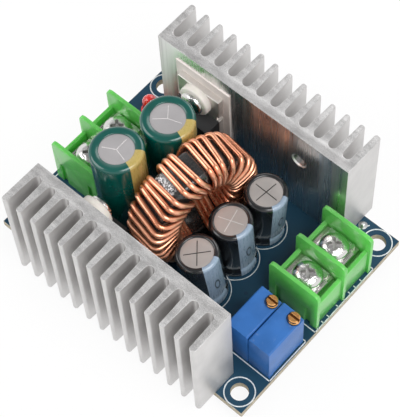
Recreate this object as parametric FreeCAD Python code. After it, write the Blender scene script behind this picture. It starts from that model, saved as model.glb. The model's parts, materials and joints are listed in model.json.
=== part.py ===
import FreeCAD
import Part
import math
import os

# Adjustable buck converter module on a small circuit board.
#
# The working frame has its origin at one corner of the board, on the board's upper face.
# X runs from the input end to the output end, Y from the front heatsink to the rear one, Z up.
# Every finished piece is then shifted so that the origin is the centre of the footprint,
# at the height of the cut wire tails that the module stands on. All sizes are in millimetres.

# Board
board_length = 60.0
board_width = 45.5
board_thickness = 1.6
mount_hole_radius = 1.7
mount_hole_inset = 3.0
tail_length = 1.8

# Finned heatsinks, one extrusion used twice
heatsink_length = 45.0
heatsink_height = 25.4
heatsink_depth = 9.4
heatsink_base = 2.0
fin_count = 14
fin_root_thickness = 1.5
fin_tip_thickness = 1.1
front_heatsink_x = 8.83
front_face_y = 5.07
rear_heatsink_x = 6.67
tapped_hole_radius = 1.5
tapped_hole_depth = 1.9
tapped_hole_spread = 23.0
tapped_hole_height = 17.4
countersink_depth = 0.35
foot_pin_radius = 0.85
foot_pin_grip = 5.0
foot_pin_reach = 3.7
pin_sides = 6
drill_sides = 16

# Power packages bolted to the heatsinks
pad_width = 13.0
pad_height = 18.0
pad_thickness = 0.3
pad_above_hole = 5.0
tab_width = 10.0
tab_thickness = 1.27
tab_above_hole = 2.75
tab_hole_radius = 1.9
tab_notch = 0.6
package_height = 9.0
package_depth = 4.5
package_below_hole = 3.55
package_draft = 0.35
lead_width = 0.8
lead_shoulder_width = 1.3
lead_thickness = 0.5
lead_setback = 2.6
lead_shoulder_length = 2.8
lead_row_offset = 2.8
rectifier_lead_pitch = 2.54
controller_lead_pitch = 1.7
bushing_flange_radius = 3.3
bushing_flange_thickness = 0.9
fixing_sides = 24

# Pan-head screws
screw_shank_radius = 1.45
tab_screw_head_radius = 2.75
tab_screw_head_height = 2.0
tab_screw_grip = 1.8
terminal_screw_head_radius = 2.85
terminal_screw_head_height = 2.2
terminal_screw_length = 6.0
drive_width = 0.7
drive_length = 3.0
drive_depth = 1.1

# Toroidal inductor standing on its rim
core_outer_radius = 11.7
core_bore_radius = 7.1
core_width = 6.5
core_edge = 0.8
core_sides = 48
wire_radius = 0.52
wire_sides = 6
wire_corner = 1.1
wire_clearance = 0.03
strand_pitch_deg = 9.7
inductor_x = 29.3
inductor_front_clearance = 4.22
inductor_yaw_deg = -7.2
wire_group_start_deg = (2, 32, 61.5, 96, 125.5, 155, 174.5, 194, 223.5, 253, 282.5, 312, 341.5)
wire_group_count = (3, 3, 3, 3, 3, 2, 2, 3, 3, 3, 3, 3, 1)
wire_end_spacing = 2.6
wire_end_reach = 3.2

# Electrolytic capacitors
sleeve_thickness = 0.2
sleeve_clearance = 0.01
sleeve_edge = 0.8
sleeve_sides = 32
tall_sleeve_lip = 1.6
short_sleeve_lip = 0.85
tall_can_radius = 4.9
tall_can_height = 24.2
tall_lead_pitch = 5.0
short_can_radius = 3.9
short_can_height = 15.0
short_lead_pitch = 3.5
capacitor_lead_radius = 0.35
capacitor_seat = 0.02
capacitor_lead_grip = 1.0
tall_front_clearance = 0.93
tall_gap = 1.0
tall_rear_clearance = 1.68
short_front_clearance = 5.18
short_front_gap = 0.19
short_rear_gap = 0.08

# Terminal blocks, one moulding used twice
pole_count = 2
pole_pitch = 7.5
divider_thickness = 0.8
divider_height = 12.7
block_depth = 11.4
divider_corner = 1.0
body_setback = 0.6
inner_wall_thickness = 0.8
inner_wall_height = 8.0
outer_wall_thickness = 0.8
outer_wall_height = 8.0
contact_seat_height = 6.2
contact_thickness = 1.0
contact_length = 7.6
contact_side_gap = 0.1
contact_leg_width = 2.4
contact_tail_width = 1.2
washer_thickness = 0.8
washer_side = 6.2
washer_hole_radius = 1.6
terminal_screw_inset = 5.65
screw_well_radius = 1.9
thread_clearance = 0.05
side_groove_width = 1.2
side_groove_depth = 0.45
side_groove_height = 6.0
side_groove_inset = 1.6
output_block_x = 48.3
output_block_clearance = 1.58
input_block_x = 12.5
input_block_y = 21.9

# Multi-turn trimmers
trimmer_width = 4.83
trimmer_length = 9.53
trimmer_height = 10.0
trimmer_standoff = 0.35
trimmer_gap = 0.23
trimmer_edge = 0.25
outer_trimmer_x = 59.4
trimmer_y = 8.35
adjuster_inset = 1.27
adjuster_head_radius = 1.1
adjuster_head_height = 1.5
adjuster_stem_radius = 0.8
adjuster_stem_length = 3.0
adjuster_slot_width = 0.45
adjuster_slot_depth = 0.5
adjuster_clearance = 0.06
adjuster_pocket_radius = 1.4
adjuster_pocket_depth = 0.65
trimmer_pin_radius = 0.25
trimmer_pin_pitch = 2.54
trimmer_foot = 1.2

# Indicator lamp
lamp_x = 5.1
lamp_clearance = 0.58
lamp_sides = 20
lamp_radius = 1.5
lamp_flange_radius = 1.9
lamp_flange_thickness = 0.9
lamp_height = 5.0
lamp_standoff = 0.5
lamp_lead_side = 0.5
lamp_lead_pitch = 2.54

# Parts soldered to the underside
amplifier_size = (4.9, 3.9, 1.5)
amplifier_lead_reach = 1.05
amplifier_lead_pitch = 1.27
amplifier_lead_width = 0.4
amplifier_lead_thickness = 0.25
regulator_size = (4.5, 2.5, 1.5)
regulator_tab_reach = 0.8
shunt_size = (6.3, 3.2, 0.6)
shunt_cap = 0.9
chip_size = (2.0, 1.25, 0.55)

# Values that follow from the sizes above
package_front = pad_thickness + package_depth
tall_sleeve_radius = tall_can_radius + sleeve_thickness
short_sleeve_radius = short_can_radius + sleeve_thickness
tall_a_y = front_face_y + package_front + tall_front_clearance + tall_sleeve_radius
tall_b_y = tall_a_y + tall_gap + 2 * tall_sleeve_radius
rear_face_y = tall_b_y + tall_sleeve_radius + tall_rear_clearance + package_front
short_c_y = front_face_y + short_front_clearance + short_sleeve_radius
short_b_y = short_c_y + short_front_gap + 2 * short_sleeve_radius
short_a_y = short_b_y + short_rear_gap + 2 * short_sleeve_radius
lamp_y = rear_face_y - lamp_clearance - lamp_flange_radius
fin_pitch = (heatsink_length - fin_root_thickness) / (fin_count - 1)
fin_gap_radius = (fin_pitch - fin_root_thickness) / 2
front_hole_x = front_heatsink_x + (heatsink_length - tapped_hole_spread) / 2
rear_hole_x = rear_heatsink_x + (heatsink_length - tapped_hole_spread) / 2
package_top = tapped_hole_height - package_below_hole
package_bottom = package_top - package_height
tab_back = pad_thickness
tab_front = tab_back + tab_thickness
tab_screw_length = tab_front + bushing_flange_thickness + tab_screw_grip
tail_z = -board_thickness - tail_length
wire_reach = wire_radius / math.cos(math.pi / wire_sides)
wire_offset = wire_reach + wire_clearance
rim_radius = core_outer_radius + wire_offset
inductor_z = rim_radius + wire_reach
inductor_y = front_face_y + inductor_front_clearance + inductor_z
block_width = pole_count * pole_pitch + divider_thickness
output_block_y = rear_face_y - output_block_clearance - block_width / 2
bay_width = pole_pitch - divider_thickness
contact_top = contact_seat_height + contact_thickness
washer_top = contact_top + washer_thickness
inner_trimmer_x = outer_trimmer_x - trimmer_width - trimmer_gap
trimmer_top = trimmer_standoff + trimmer_height
footprint_front = front_face_y - heatsink_depth
footprint_rear = rear_face_y + heatsink_depth
origin_shift = FreeCAD.Vector(-board_length / 2, -(footprint_front + footprint_rear) / 2, -tail_z)

UP = FreeCAD.Vector(0, 0, 1)
ORIGIN = FreeCAD.Vector(0, 0, 0)


def vec(x, y, z):
    return FreeCAD.Vector(x, y, z)


def block(x_low, x_high, y_low, y_high, z_low, z_high):
    """Box between two corners."""
    return Part.makeBox(x_high - x_low, y_high - y_low, z_high - z_low, vec(x_low, y_low, z_low))


def rod(radius, z_low, z_high, x=0.0, y=0.0):
    """Upright round bar."""
    return Part.makeCylinder(radius, z_high - z_low, vec(x, y, z_low))


def pin(radius, z_low, z_high, x=0.0, y=0.0):
    """Upright thin pin or lead, drawn with few sides."""
    corners = []
    for step in range(pin_sides):
        turn = (step + 0.5) * 2 * math.pi / pin_sides
        corners.append(vec(x + radius * math.cos(turn), y + radius * math.sin(turn), z_low))
    return prism(corners, vec(0, 0, z_high - z_low))


def prism(points, sweep):
    """Closed outline of points, swept along a vector."""
    outline = Part.makePolygon(points + [points[0]])
    return Part.Face(outline).extrude(sweep)


def turned(outline):
    """Solid of revolution about Z from (radius, height) pairs."""
    points = [vec(radius, 0, height) for radius, height in outline]
    return Part.Face(Part.makePolygon(points + [points[0]])).revolve(ORIGIN, UP, 360)


def faceted(outline, sides):
    """Solid of revolution about Z from (radius, height) pairs, drawn with flat sides."""
    turns = [(step + 0.5) * 2 * math.pi / sides for step in range(sides + 1)]
    faces = []
    for (low_r, low_z), (high_r, high_z) in zip(outline, outline[1:] + outline[:1]):
        for first, second in zip(turns, turns[1:]):
            corners = []
            for radius, height, turn in ((low_r, low_z, first), (low_r, low_z, second),
                                         (high_r, high_z, second), (high_r, high_z, first)):
                corner = vec(radius * math.cos(turn), radius * math.sin(turn), height)
                if not any(corner.isEqual(other, 1e-7) for other in corners):
                    corners.append(corner)
            if len(corners) > 2:
                faces.append(Part.Face(Part.makePolygon(corners + [corners[0]])))
    solid = Part.Solid(Part.Shell(faces)).removeSplitter()
    if solid.Volume < 0:
        solid.reverse()
    return solid


def moved(shape, x=0.0, y=0.0, z=0.0, turn_deg=0.0):
    """Copy of a shape, turned about the Z axis and then shifted."""
    copy = shape.copy()
    if turn_deg:
        copy.rotate(ORIGIN, UP, turn_deg)
    copy.translate(vec(x, y, z))
    return copy


def group(shapes):
    """Separate solids kept together."""
    return Part.makeCompound(shapes)


# Heatsinks


def fin_centre(index):
    return fin_root_thickness / 2 + index * fin_pitch


def heatsink_outline():
    """Comb profile: flat mounting face, tapered fins with broken tips and rounded roots between them."""
    tip_half = fin_tip_thickness / 2
    root_half = fin_root_thickness / 2
    shoulder_y = heatsink_depth - tip_half
    root_y = heatsink_base + fin_gap_radius
    knee = fin_gap_radius * (1 - math.sqrt(0.5))
    points = [vec(0, 0, 0), vec(heatsink_length, 0, 0)]
    for index in reversed(range(fin_count)):
        centre = fin_centre(index)
        right_x = heatsink_length if index == fin_count - 1 else centre + tip_half
        left_x = 0.0 if index == 0 else centre - tip_half
        points += [vec(right_x, shoulder_y, 0), vec(right_x - tip_half / 2, heatsink_depth, 0),
                   vec(left_x + tip_half / 2, heatsink_depth, 0), vec(left_x, shoulder_y, 0)]
        if index > 0:
            gap_right = centre - root_half
            gap_left = gap_right - 2 * fin_gap_radius
            points += [vec(gap_right, root_y, 0), vec(gap_right - knee, heatsink_base + knee, 0),
                       vec((gap_right + gap_left) / 2, heatsink_base, 0),
                       vec(gap_left + knee, heatsink_base + knee, 0), vec(gap_left, root_y, 0)]
    return Part.Face(Part.makePolygon(points + [points[0]]))


def tapped_hole(x):
    """Blind hole into the mounting face with a small countersink."""
    hole = faceted([(0, 0), (tapped_hole_radius + countersink_depth, 0), (tapped_hole_radius, countersink_depth),
                    (tapped_hole_radius, tapped_hole_depth), (0, tapped_hole_depth)], drill_sides)
    hole.rotate(ORIGIN, vec(1, 0, 0), -90)
    return moved(hole, x, 0, tapped_hole_height)


def heatsink():
    """Extruded length of comb profile, sawn to height and drilled twice."""
    body = heatsink_outline().extrude(vec(0, 0, heatsink_height))
    middle = heatsink_length / 2
    for side in (-1, 1):
        body = body.cut(tapped_hole(middle + side * tapped_hole_spread / 2))
    return body


def foot_pins():
    """Round solder pins gripped in the first and last gap of the comb."""
    first_gap = (fin_centre(0) + fin_centre(1)) / 2
    pins = []
    for x in (first_gap, heatsink_length - first_gap):
        pins.append(pin(foot_pin_radius, tail_z, foot_pin_grip, x, foot_pin_reach))
    return group(pins)


def on_rear_heatsink(shape):
    return moved(shape, rear_heatsink_x, rear_face_y)


def on_front_heatsink(shape):
    return moved(shape, front_heatsink_x + heatsink_length, front_face_y, turn_deg=180)


# Power packages, with Y measured away from the heatsink's face and the screw axis at x = 0


def at_front(shape):
    return moved(shape, front_hole_x, front_face_y)


def at_rear(shape):
    return moved(shape, rear_hole_x, rear_face_y, turn_deg=180)


def tab_hole(y_low, y_high):
    """Cutter for the hole that the bushing and screw pass through."""
    hole = faceted([(0, y_low), (tab_hole_radius, y_low), (tab_hole_radius, y_high), (0, y_high)], drill_sides)
    hole.rotate(ORIGIN, vec(1, 0, 0), -90)
    return moved(hole, 0, 0, tapped_hole_height)


def insulating_pad():
    top = tapped_hole_height + pad_above_hole
    sheet = block(-pad_width / 2, pad_width / 2, 0, pad_thickness, top - pad_height, top)
    return sheet.cut(tab_hole(0, pad_thickness))


def mounting_tab():
    """Metal tab with its screw hole, side notches above the body and the plate behind the body."""
    half = tab_width / 2
    top = tapped_hole_height + tab_above_hole
    notch_top = package_top + 2 * tab_notch
    points = [vec(-half, tab_back, package_bottom), vec(half, tab_back, package_bottom),
              vec(half, tab_back, package_top), vec(half - tab_notch, tab_back, package_top),
              vec(half - tab_notch, tab_back, notch_top), vec(half, tab_back, notch_top),
              vec(half, tab_back, top), vec(-half, tab_back, top),
              vec(-half, tab_back, notch_top), vec(tab_notch - half, tab_back, notch_top),
              vec(tab_notch - half, tab_back, package_top), vec(-half, tab_back, package_top)]
    plate = prism(points, vec(0, tab_thickness, 0))
    return plate.cut(tab_hole(tab_back, tab_front))


def package_body():
    """Moulded body with sloping faces in front of the tab."""
    half = tab_width / 2
    front = tab_back + package_depth
    side = [vec(-half, tab_front, package_bottom), vec(-half, front, package_bottom + package_draft),
            vec(-half, front, package_top - 2 * package_draft), vec(-half, tab_front, package_top)]
    body = prism(side, vec(tab_width, 0, 0))
    plan = [vec(-half, tab_front, 0), vec(half, tab_front, 0),
            vec(half - package_draft, front, 0), vec(package_draft - half, front, 0)]
    return body.common(prism(plan, vec(0, 0, package_top)))


def straight_lead(x, shoulder):
    """Flat lead with a wide shoulder, from inside the body down to its cut tail."""
    y_low = tab_back + lead_setback - lead_thickness / 2
    narrow = block(x - lead_width / 2, x + lead_width / 2, y_low, y_low + lead_thickness,
                   tail_z, package_bottom + lead_thickness)
    wide = block(x - shoulder / 2, x + shoulder / 2, y_low, y_low + lead_thickness,
                 package_bottom - lead_shoulder_length, package_bottom + lead_thickness)
    return narrow.fuse(wide).removeSplitter()


def cranked_lead(x):
    """Flat lead bent forward to a second row of holes."""
    y_low = tab_back + lead_setback - lead_thickness / 2
    y_high = y_low + lead_thickness
    step = lead_row_offset
    knee = package_bottom - lead_thickness
    drop = package_bottom - 3 * lead_thickness
    left = x - lead_width / 2
    points = [vec(left, y_low, package_bottom + lead_thickness), vec(left, y_high, package_bottom + lead_thickness),
              vec(left, y_high, knee), vec(left, y_high + step, knee), vec(left, y_high + step, tail_z),
              vec(left, y_low + step, tail_z), vec(left, y_low + step, drop + lead_thickness),
              vec(left, y_low, drop + lead_thickness)]
    return prism(points, vec(lead_width, 0, 0))


def rectifier_frame():
    leads = [straight_lead(step * rectifier_lead_pitch, lead_shoulder_width) for step in (-1, 0, 1)]
    return group([mounting_tab()] + leads)


def controller_frame():
    leads = [straight_lead(step * controller_lead_pitch, lead_width) for step in (-2, 0, 2)]
    leads += [cranked_lead(step * controller_lead_pitch) for step in (-1, 1)]
    return group([mounting_tab()] + leads)


def tab_bushing():
    """Flange of the insulating bushing between the screw head and the tab."""
    flange_front = tab_front + bushing_flange_thickness
    ring = faceted([(screw_shank_radius, tab_front), (bushing_flange_radius, tab_front),
                    (bushing_flange_radius, flange_front), (screw_shank_radius, flange_front)], fixing_sides)
    ring.rotate(ORIGIN, vec(1, 0, 0), -90)
    return moved(ring, 0, 0, tapped_hole_height)


# Screws


def pan_head_screw(head_radius, head_height, length, sides=0):
    """Upright screw with its bearing face at z = 0, a crowned head and a cross recess with one longer slot."""
    edge = head_height * 0.45
    outline = [(0, -length), (screw_shank_radius, -length), (screw_shank_radius, 0), (head_radius, 0),
               (head_radius, edge), (head_radius * 0.62, head_height), (0, head_height)]
    body = faceted(outline, sides) if sides else turned(outline)
    floor = head_height - drive_depth
    short = head_radius * 1.1
    for span, turn in ((drive_length, 45), (short, 135)):
        slot = block(-span / 2, span / 2, -drive_width / 2, drive_width / 2, floor, head_height)
        body = body.cut(moved(slot, turn_deg=turn))
    return body


def tab_screw():
    """Pan-head screw laid on its axis through bushing, tab and pad."""
    screw = pan_head_screw(tab_screw_head_radius, tab_screw_head_height, tab_screw_length, fixing_sides)
    screw.rotate(ORIGIN, vec(1, 0, 0), -90)
    return moved(screw, 0, tab_front + bushing_flange_thickness, tapped_hole_height)


# Inductor


def in_inductor(shape):
    """Place a shape built about the coil's own axis, which starts along X."""
    return moved(shape, inductor_x, inductor_y, inductor_z, inductor_yaw_deg)


def toroid_core():
    """Ring of rectangular section with broken outer edges, turned about X."""
    half = core_width / 2
    outline = [(core_bore_radius, -half), (core_outer_radius - core_edge, -half),
               (core_outer_radius, core_edge - half), (core_outer_radius, half - core_edge),
               (core_outer_radius - core_edge, half), (core_bore_radius, half)]
    ring = faceted(outline, core_sides)
    ring.rotate(ORIGIN, vec(0, 1, 0), 90)
    return in_inductor(ring)


def strand(angle_deg):
    """One wire loop about the core's section, of six-sided wire, at an angle round the ring."""
    low = core_bore_radius - wire_offset
    high = rim_radius
    half = core_width / 2 + wire_offset
    cut = wire_corner
    path = [vec(-half, low, 0), vec(-half, high - cut, 0), vec(cut - half, high, 0),
            vec(half - cut, high, 0), vec(half, high - cut, 0), vec(half, low, 0)]
    middle = (path[0] + path[1]) / 2
    section = []
    for step in range(wire_sides):
        turn = step * 2 * math.pi / wire_sides
        section.append(middle + vec(wire_reach * math.cos(turn), 0, wire_reach * math.sin(turn)))
    spine = Part.makePolygon([middle] + path[1:] + [path[0], middle])
    profile = Part.makePolygon(section + [section[0]])
    loop = spine.makePipeShell([profile], True, False, 1)
    loop.rotate(ORIGIN, vec(1, 0, 0), angle_deg)
    return loop


def winding():
    """Groups of parallel wires spread round the ring as the coil was wound."""
    loops = []
    for first, count in zip(wire_group_start_deg, wire_group_count):
        for index in range(count):
            loops.append(in_inductor(strand(first + index * strand_pitch_deg)))
    return group(loops)


def wire_ends():
    """Start and finish of the three wires, straight down through the board under the coil."""
    ends = []
    for side in (-1, 1):
        for index in (-1, 0, 1):
            end = pin(wire_radius, tail_z, 0, side * wire_end_reach, index * wire_end_spacing)
            ends.append(moved(end, inductor_x, inductor_y, 0, inductor_yaw_deg))
    return group(ends)


# Capacitors


def capacitor_sleeve(radius, height, lip):
    """Shrunk sleeve: open tube whose upper rim folds over the edge of the can."""
    inner = radius + sleeve_clearance
    outer = radius + sleeve_thickness
    top = height + sleeve_thickness
    outline = [(inner, 0), (outer, 0), (outer, top - sleeve_edge), (outer - sleeve_edge, top),
               (radius - lip, height), (inner, height)]
    return faceted(outline, sleeve_sides)


def capacitor_can(radius, height):
    """Drawn can, closed by its seal just above the sleeve's lower edge."""
    return faceted([(0, sleeve_thickness), (radius, sleeve_thickness), (radius, height), (0, height)],
                   sleeve_sides)


def lean(shape, base_x, base_y, lean_x, lean_y, radius):
    """Tip a capacitor a little about its base and lift it until the low edge clears the board."""
    tipped = shape.copy()
    tipped.rotate(ORIGIN, vec(0, 1, 0), math.degrees(lean_x))
    tipped.rotate(ORIGIN, vec(1, 0, 0), -math.degrees(lean_y))
    lift = (radius + sleeve_thickness) * math.hypot(lean_x, lean_y) + capacitor_seat
    tipped.translate(vec(base_x, base_y, lift))
    return tipped


def capacitor_leads(base_x, base_y, pitch, turn_deg, can):
    """Two upright leads that end against the seal."""
    leads = []
    for side in (-1, 1):
        reach = side * pitch / 2
        x = base_x + reach * math.cos(math.radians(turn_deg))
        y = base_y + reach * math.sin(math.radians(turn_deg))
        leads.append(pin(capacitor_lead_radius, tail_z, capacitor_lead_grip, x, y).cut(can))
    return group(leads)


# name, x, y, lean in x, lean in y, lead direction
tall_capacitors = (("a", 18.3, tall_a_y, -0.052, 0.018, 90.0),
                   ("b", 19.56, tall_b_y, 0.0, 0.0, 90.0))
short_capacitors = (("a", 38.63, short_a_y, 0.06, -0.01, 0.0),
                    ("b", 38.88, short_b_y, -0.026, -0.028, 0.0),
                    ("c", 39.14, short_c_y, -0.06, -0.06, 0.0))


def capacitor(spec, radius, height, pitch, lip):
    """Sleeve, can and leads of one capacitor."""
    name, x, y, lean_x, lean_y, turn = spec
    sleeve = lean(capacitor_sleeve(radius, height, lip), x, y, lean_x, lean_y, radius)
    can = lean(capacitor_can(radius, height), x, y, lean_x, lean_y, radius)
    leads = capacitor_leads(x, y, pitch, turn, can)
    return sleeve, can, leads


# Terminal blocks, with X from the inner end out to the wire entry and Y = 0 in the middle of the width


def at_output(shape):
    return moved(shape, output_block_x, output_block_y)


def at_input(shape):
    return moved(shape, input_block_x, input_block_y, turn_deg=180)


def pole_centres():
    first = -(pole_count - 1) * pole_pitch / 2
    return [first + index * pole_pitch for index in range(pole_count)]


def divider(y):
    """Upright fence with rounded upper corners."""
    cut = divider_corner
    knee = cut * (1 - math.sqrt(0.5))
    left = y - divider_thickness / 2
    top = divider_height
    points = [vec(0, left, 0), vec(block_depth, left, 0), vec(block_depth, left, top - cut),
              vec(block_depth - knee, left, top - knee), vec(block_depth - cut, left, top),
              vec(cut, left, top), vec(knee, left, top - knee), vec(0, left, top - cut)]
    return prism(points, vec(0, divider_thickness, 0))


def terminal_housing():
    """Fences, floor with screw wells, tall inner wall and low outer wall, moulded in one."""
    half = block_width / 2
    near = body_setback
    far = block_depth - body_setback
    side = [vec(near, -half, 0), vec(far, -half, 0), vec(far, -half, outer_wall_height),
            vec(far - outer_wall_thickness, -half, outer_wall_height),
            vec(far - outer_wall_thickness, -half, contact_seat_height),
            vec(near + inner_wall_thickness, -half, contact_seat_height),
            vec(near + inner_wall_thickness, -half, inner_wall_height), vec(near, -half, inner_wall_height)]
    body = prism(side, vec(0, block_width, 0))
    fences = [divider(centre - pole_pitch / 2) for centre in pole_centres()]
    fences.append(divider(pole_centres()[-1] + pole_pitch / 2))
    body = body.multiFuse(fences).removeSplitter()
    well_floor = washer_top - terminal_screw_length - screw_shank_radius / 2
    for centre in pole_centres():
        body = body.cut(rod(screw_well_radius, well_floor, contact_seat_height, terminal_screw_inset, centre))
        body = body.cut(contact_leg(centre, contact_side_gap))
    for x in (side_groove_inset, block_depth - side_groove_inset - side_groove_width):
        for y in (-half, half - side_groove_depth):
            groove = block(x, x + side_groove_width, y, y + side_groove_depth, 0, side_groove_height)
            body = body.cut(groove)
    return body


def contact_start():
    return body_setback + inner_wall_thickness + contact_side_gap


def contact_leg(centre, extra=0.0):
    """Leg under the inner end of a contact plate."""
    x_low = contact_start() - extra
    x_high = contact_start() + contact_thickness + extra
    half = contact_leg_width / 2 + extra
    return block(x_low, x_high, centre - half, centre + half, 0, contact_seat_height)


def contact(centre):
    """Plate under the screw, with its threaded hole and a leg down to a solder tail."""
    x_low = contact_start()
    half = bay_width / 2 - contact_side_gap
    plate = block(x_low, x_low + contact_length, centre - half, centre + half, contact_seat_height, contact_top)
    tail_half = contact_tail_width / 2
    tail = block(x_low, x_low + contact_thickness, centre - tail_half, centre + tail_half, tail_z, 0)
    piece = plate.multiFuse([contact_leg(centre), tail]).removeSplitter()
    bore = rod(screw_shank_radius + thread_clearance, contact_seat_height, contact_top,
               terminal_screw_inset, centre)
    return piece.cut(bore)


def clamp_washer(centre):
    """Square washer whose outer edge turns down towards the wire."""
    half = washer_side / 2
    x_low = terminal_screw_inset - half
    x_high = terminal_screw_inset + half
    lip = washer_thickness / 2
    side = [vec(x_low, centre - half, contact_top), vec(x_high, centre - half, contact_top),
            vec(x_high + lip, centre - half, contact_top + lip), vec(x_high + lip / 2, centre - half, washer_top),
            vec(x_low, centre - half, washer_top)]
    plate = prism(side, vec(0, washer_side, 0))
    return plate.cut(rod(washer_hole_radius, contact_top, washer_top, terminal_screw_inset, centre))


def terminal_screw(centre):
    screw = pan_head_screw(terminal_screw_head_radius, terminal_screw_head_height, terminal_screw_length)
    return moved(screw, terminal_screw_inset, centre, washer_top)


# Trimmers, with the origin at the body's near corner


def at_inner_trimmer(shape):
    return moved(shape, inner_trimmer_x - trimmer_width, trimmer_y)


def at_outer_trimmer(shape):
    return moved(shape, outer_trimmer_x - trimmer_width, trimmer_y)


def adjuster_place():
    return trimmer_width - adjuster_inset, trimmer_length - adjuster_inset


def trimmer_body():
    """Case on two feet, with broken upper edges and an open corner pocket round the adjusting screw."""
    x, y = adjuster_place()
    outline = [vec(0, 0, trimmer_standoff), vec(trimmer_width, 0, trimmer_standoff),
               vec(trimmer_width, 0, trimmer_top - trimmer_edge), vec(trimmer_width - trimmer_edge, 0, trimmer_top),
               vec(trimmer_edge, 0, trimmer_top), vec(0, 0, trimmer_top - trimmer_edge)]
    body = prism(outline, vec(0, trimmer_length, 0))
    feet = [block(0, trimmer_width, 0, trimmer_foot, 0, trimmer_standoff),
            block(0, trimmer_width, trimmer_length - trimmer_foot, trimmer_length, 0, trimmer_standoff)]
    body = body.multiFuse(feet).removeSplitter()
    pocket_floor = trimmer_top - adjuster_pocket_depth
    pocket = rod(adjuster_pocket_radius, pocket_floor, trimmer_top, x, y)
    corner = block(x, trimmer_width, y, trimmer_length, pocket_floor, trimmer_top)
    stem_radius = adjuster_stem_radius + adjuster_clearance
    stem_hole = rod(stem_radius, pocket_floor - adjuster_stem_length - adjuster_clearance, pocket_floor, x, y)
    return body.cut(pocket.fuse(corner).fuse(stem_hole))


def adjusting_screw():
    """Slotted brass screw that stands in the pocket on a stem."""
    x, y = adjuster_place()
    floor = trimmer_top - adjuster_pocket_depth
    head_low = floor + adjuster_clearance
    head_top = head_low + adjuster_head_height
    head = rod(adjuster_head_radius, head_low, head_top)
    stem = rod(adjuster_stem_radius, floor - adjuster_stem_length, head_low)
    half = adjuster_slot_width / 2
    slot = block(-adjuster_head_radius, adjuster_head_radius, -half, half, head_top - adjuster_slot_depth, head_top)
    return moved(head.fuse(stem).cut(slot), x, y)


def trimmer_pins():
    pins = []
    for step in (-1, 0, 1):
        y = trimmer_length / 2 + step * trimmer_pin_pitch
        pins.append(pin(trimmer_pin_radius, tail_z, trimmer_standoff, trimmer_width / 2, y))
    return group(pins)


# Indicator lamp


def lamp_lens():
    """Domed lens on a flange."""
    low = lamp_standoff
    brim = low + lamp_flange_thickness
    top = low + lamp_height
    spring = top - lamp_radius
    knee = lamp_radius * math.sqrt(0.5)
    outline = [(0, low), (lamp_flange_radius, low), (lamp_flange_radius, brim), (lamp_radius, brim),
               (lamp_radius, spring), (knee, spring + knee), (lamp_radius / 4, top), (0, top)]
    return moved(faceted(outline, lamp_sides), lamp_x, lamp_y)


def lamp_leads():
    half = lamp_lead_side / 2
    leads = []
    for side in (-1, 1):
        x = side * lamp_lead_pitch / 2
        leads.append(moved(block(x - half, x + half, -half, half, tail_z, lamp_standoff), lamp_x, lamp_y))
    return group(leads)


# Underside


def under(shape, x, y, turn_deg=0.0):
    """Hang a shape, built upwards from z = 0, under the board."""
    flipped = shape.copy()
    flipped.rotate(ORIGIN, vec(1, 0, 0), 180)
    return moved(flipped, x, y, -board_thickness, turn_deg)


def amplifier():
    """Eight-lead amplifier body with gull-wing leads as solids beside it."""
    length, width, height = amplifier_size
    base = amplifier_lead_thickness / 2
    rise = height / 2
    slope = base
    side = [vec(-length / 2, -width / 2, rise), vec(-length / 2, slope - width / 2, base),
            vec(-length / 2, width / 2 - slope, base), vec(-length / 2, width / 2, rise),
            vec(-length / 2, width / 2 - slope, height), vec(-length / 2, slope - width / 2, height)]
    body = prism(side, vec(length, 0, 0))
    leads = []
    for end in (-1, 1):
        for step in (-1.5, -0.5, 0.5, 1.5):
            left = step * amplifier_lead_pitch - amplifier_lead_width / 2
            near = end * width / 2
            knee = end * (width / 2 + amplifier_lead_reach / 3)
            far = end * (width / 2 + amplifier_lead_reach)
            thick = amplifier_lead_thickness
            shin = knee + end * thick
            outline = [vec(left, near, rise), vec(left, knee, rise), vec(left, shin, thick),
                       vec(left, far, thick), vec(left, far, 0), vec(left, shin - end * thick, 0),
                       vec(left, knee - end * thick, rise - thick), vec(left, near, rise - thick)]
            wing = prism(outline, vec(amplifier_lead_width, 0, 0)).cut(body)
            leads.append(wing)
    return body, group(leads)


def regulator():
    """Small three-lead regulator with its heat tab."""
    length, width, height = regulator_size
    body = block(-length / 2, length / 2, -width / 2, width / 2, 0, height)
    tab_half = length / 5
    tab = block(-tab_half, tab_half, width / 2, width / 2 + regulator_tab_reach, 0, amplifier_lead_thickness)
    feet = [tab]
    for step in (-1, 0, 1):
        x = step * length / 3
        half = amplifier_lead_width / 2
        feet.append(block(x - half, x + half, -width / 2 - regulator_tab_reach, -width / 2, 0,
                          amplifier_lead_thickness))
    return body, group(feet)


def shunt():
    """Current shunt: flat body between two end caps."""
    length, width, height = shunt_size
    body = block(shunt_cap - length / 2, length / 2 - shunt_cap, -width / 2, width / 2, 0, height)
    caps = [block(-length / 2, shunt_cap - length / 2, -width / 2, width / 2, 0, height),
            block(length / 2 - shunt_cap, length / 2, -width / 2, width / 2, 0, height)]
    return [body] + caps


def chip():
    length, width, height = chip_size
    return block(-length / 2, length / 2, -width / 2, width / 2, 0, height)


amplifier_place = (33.0, 33.5)
regulator_place = (45.0, 39.0)
shunt_places = ((26.0, 8.5), (34.5, 8.5))
chip_places = ((27.5, 31.0), (27.5, 33.5), (27.5, 36.0), (39.0, 36.5), (42.5, 33.0), (33.0, 38.5),
               (52.5, 7.0), (56.5, 5.8), (46.5, 27.0), (46.5, 30.0))


# Board


def circuit_board(through):
    """Board with its corner holes, opened for every pin that passes through."""
    board = block(0, board_length, 0, board_width, -board_thickness, 0)
    for x in (mount_hole_inset, board_length - mount_hole_inset):
        for y in (mount_hole_inset, board_width - mount_hole_inset):
            board = board.cut(rod(mount_hole_radius, -board_thickness, 0, x, y))
    solids = [solid for shape in through for solid in shape.Solids]
    return board.cut(solids)


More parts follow.
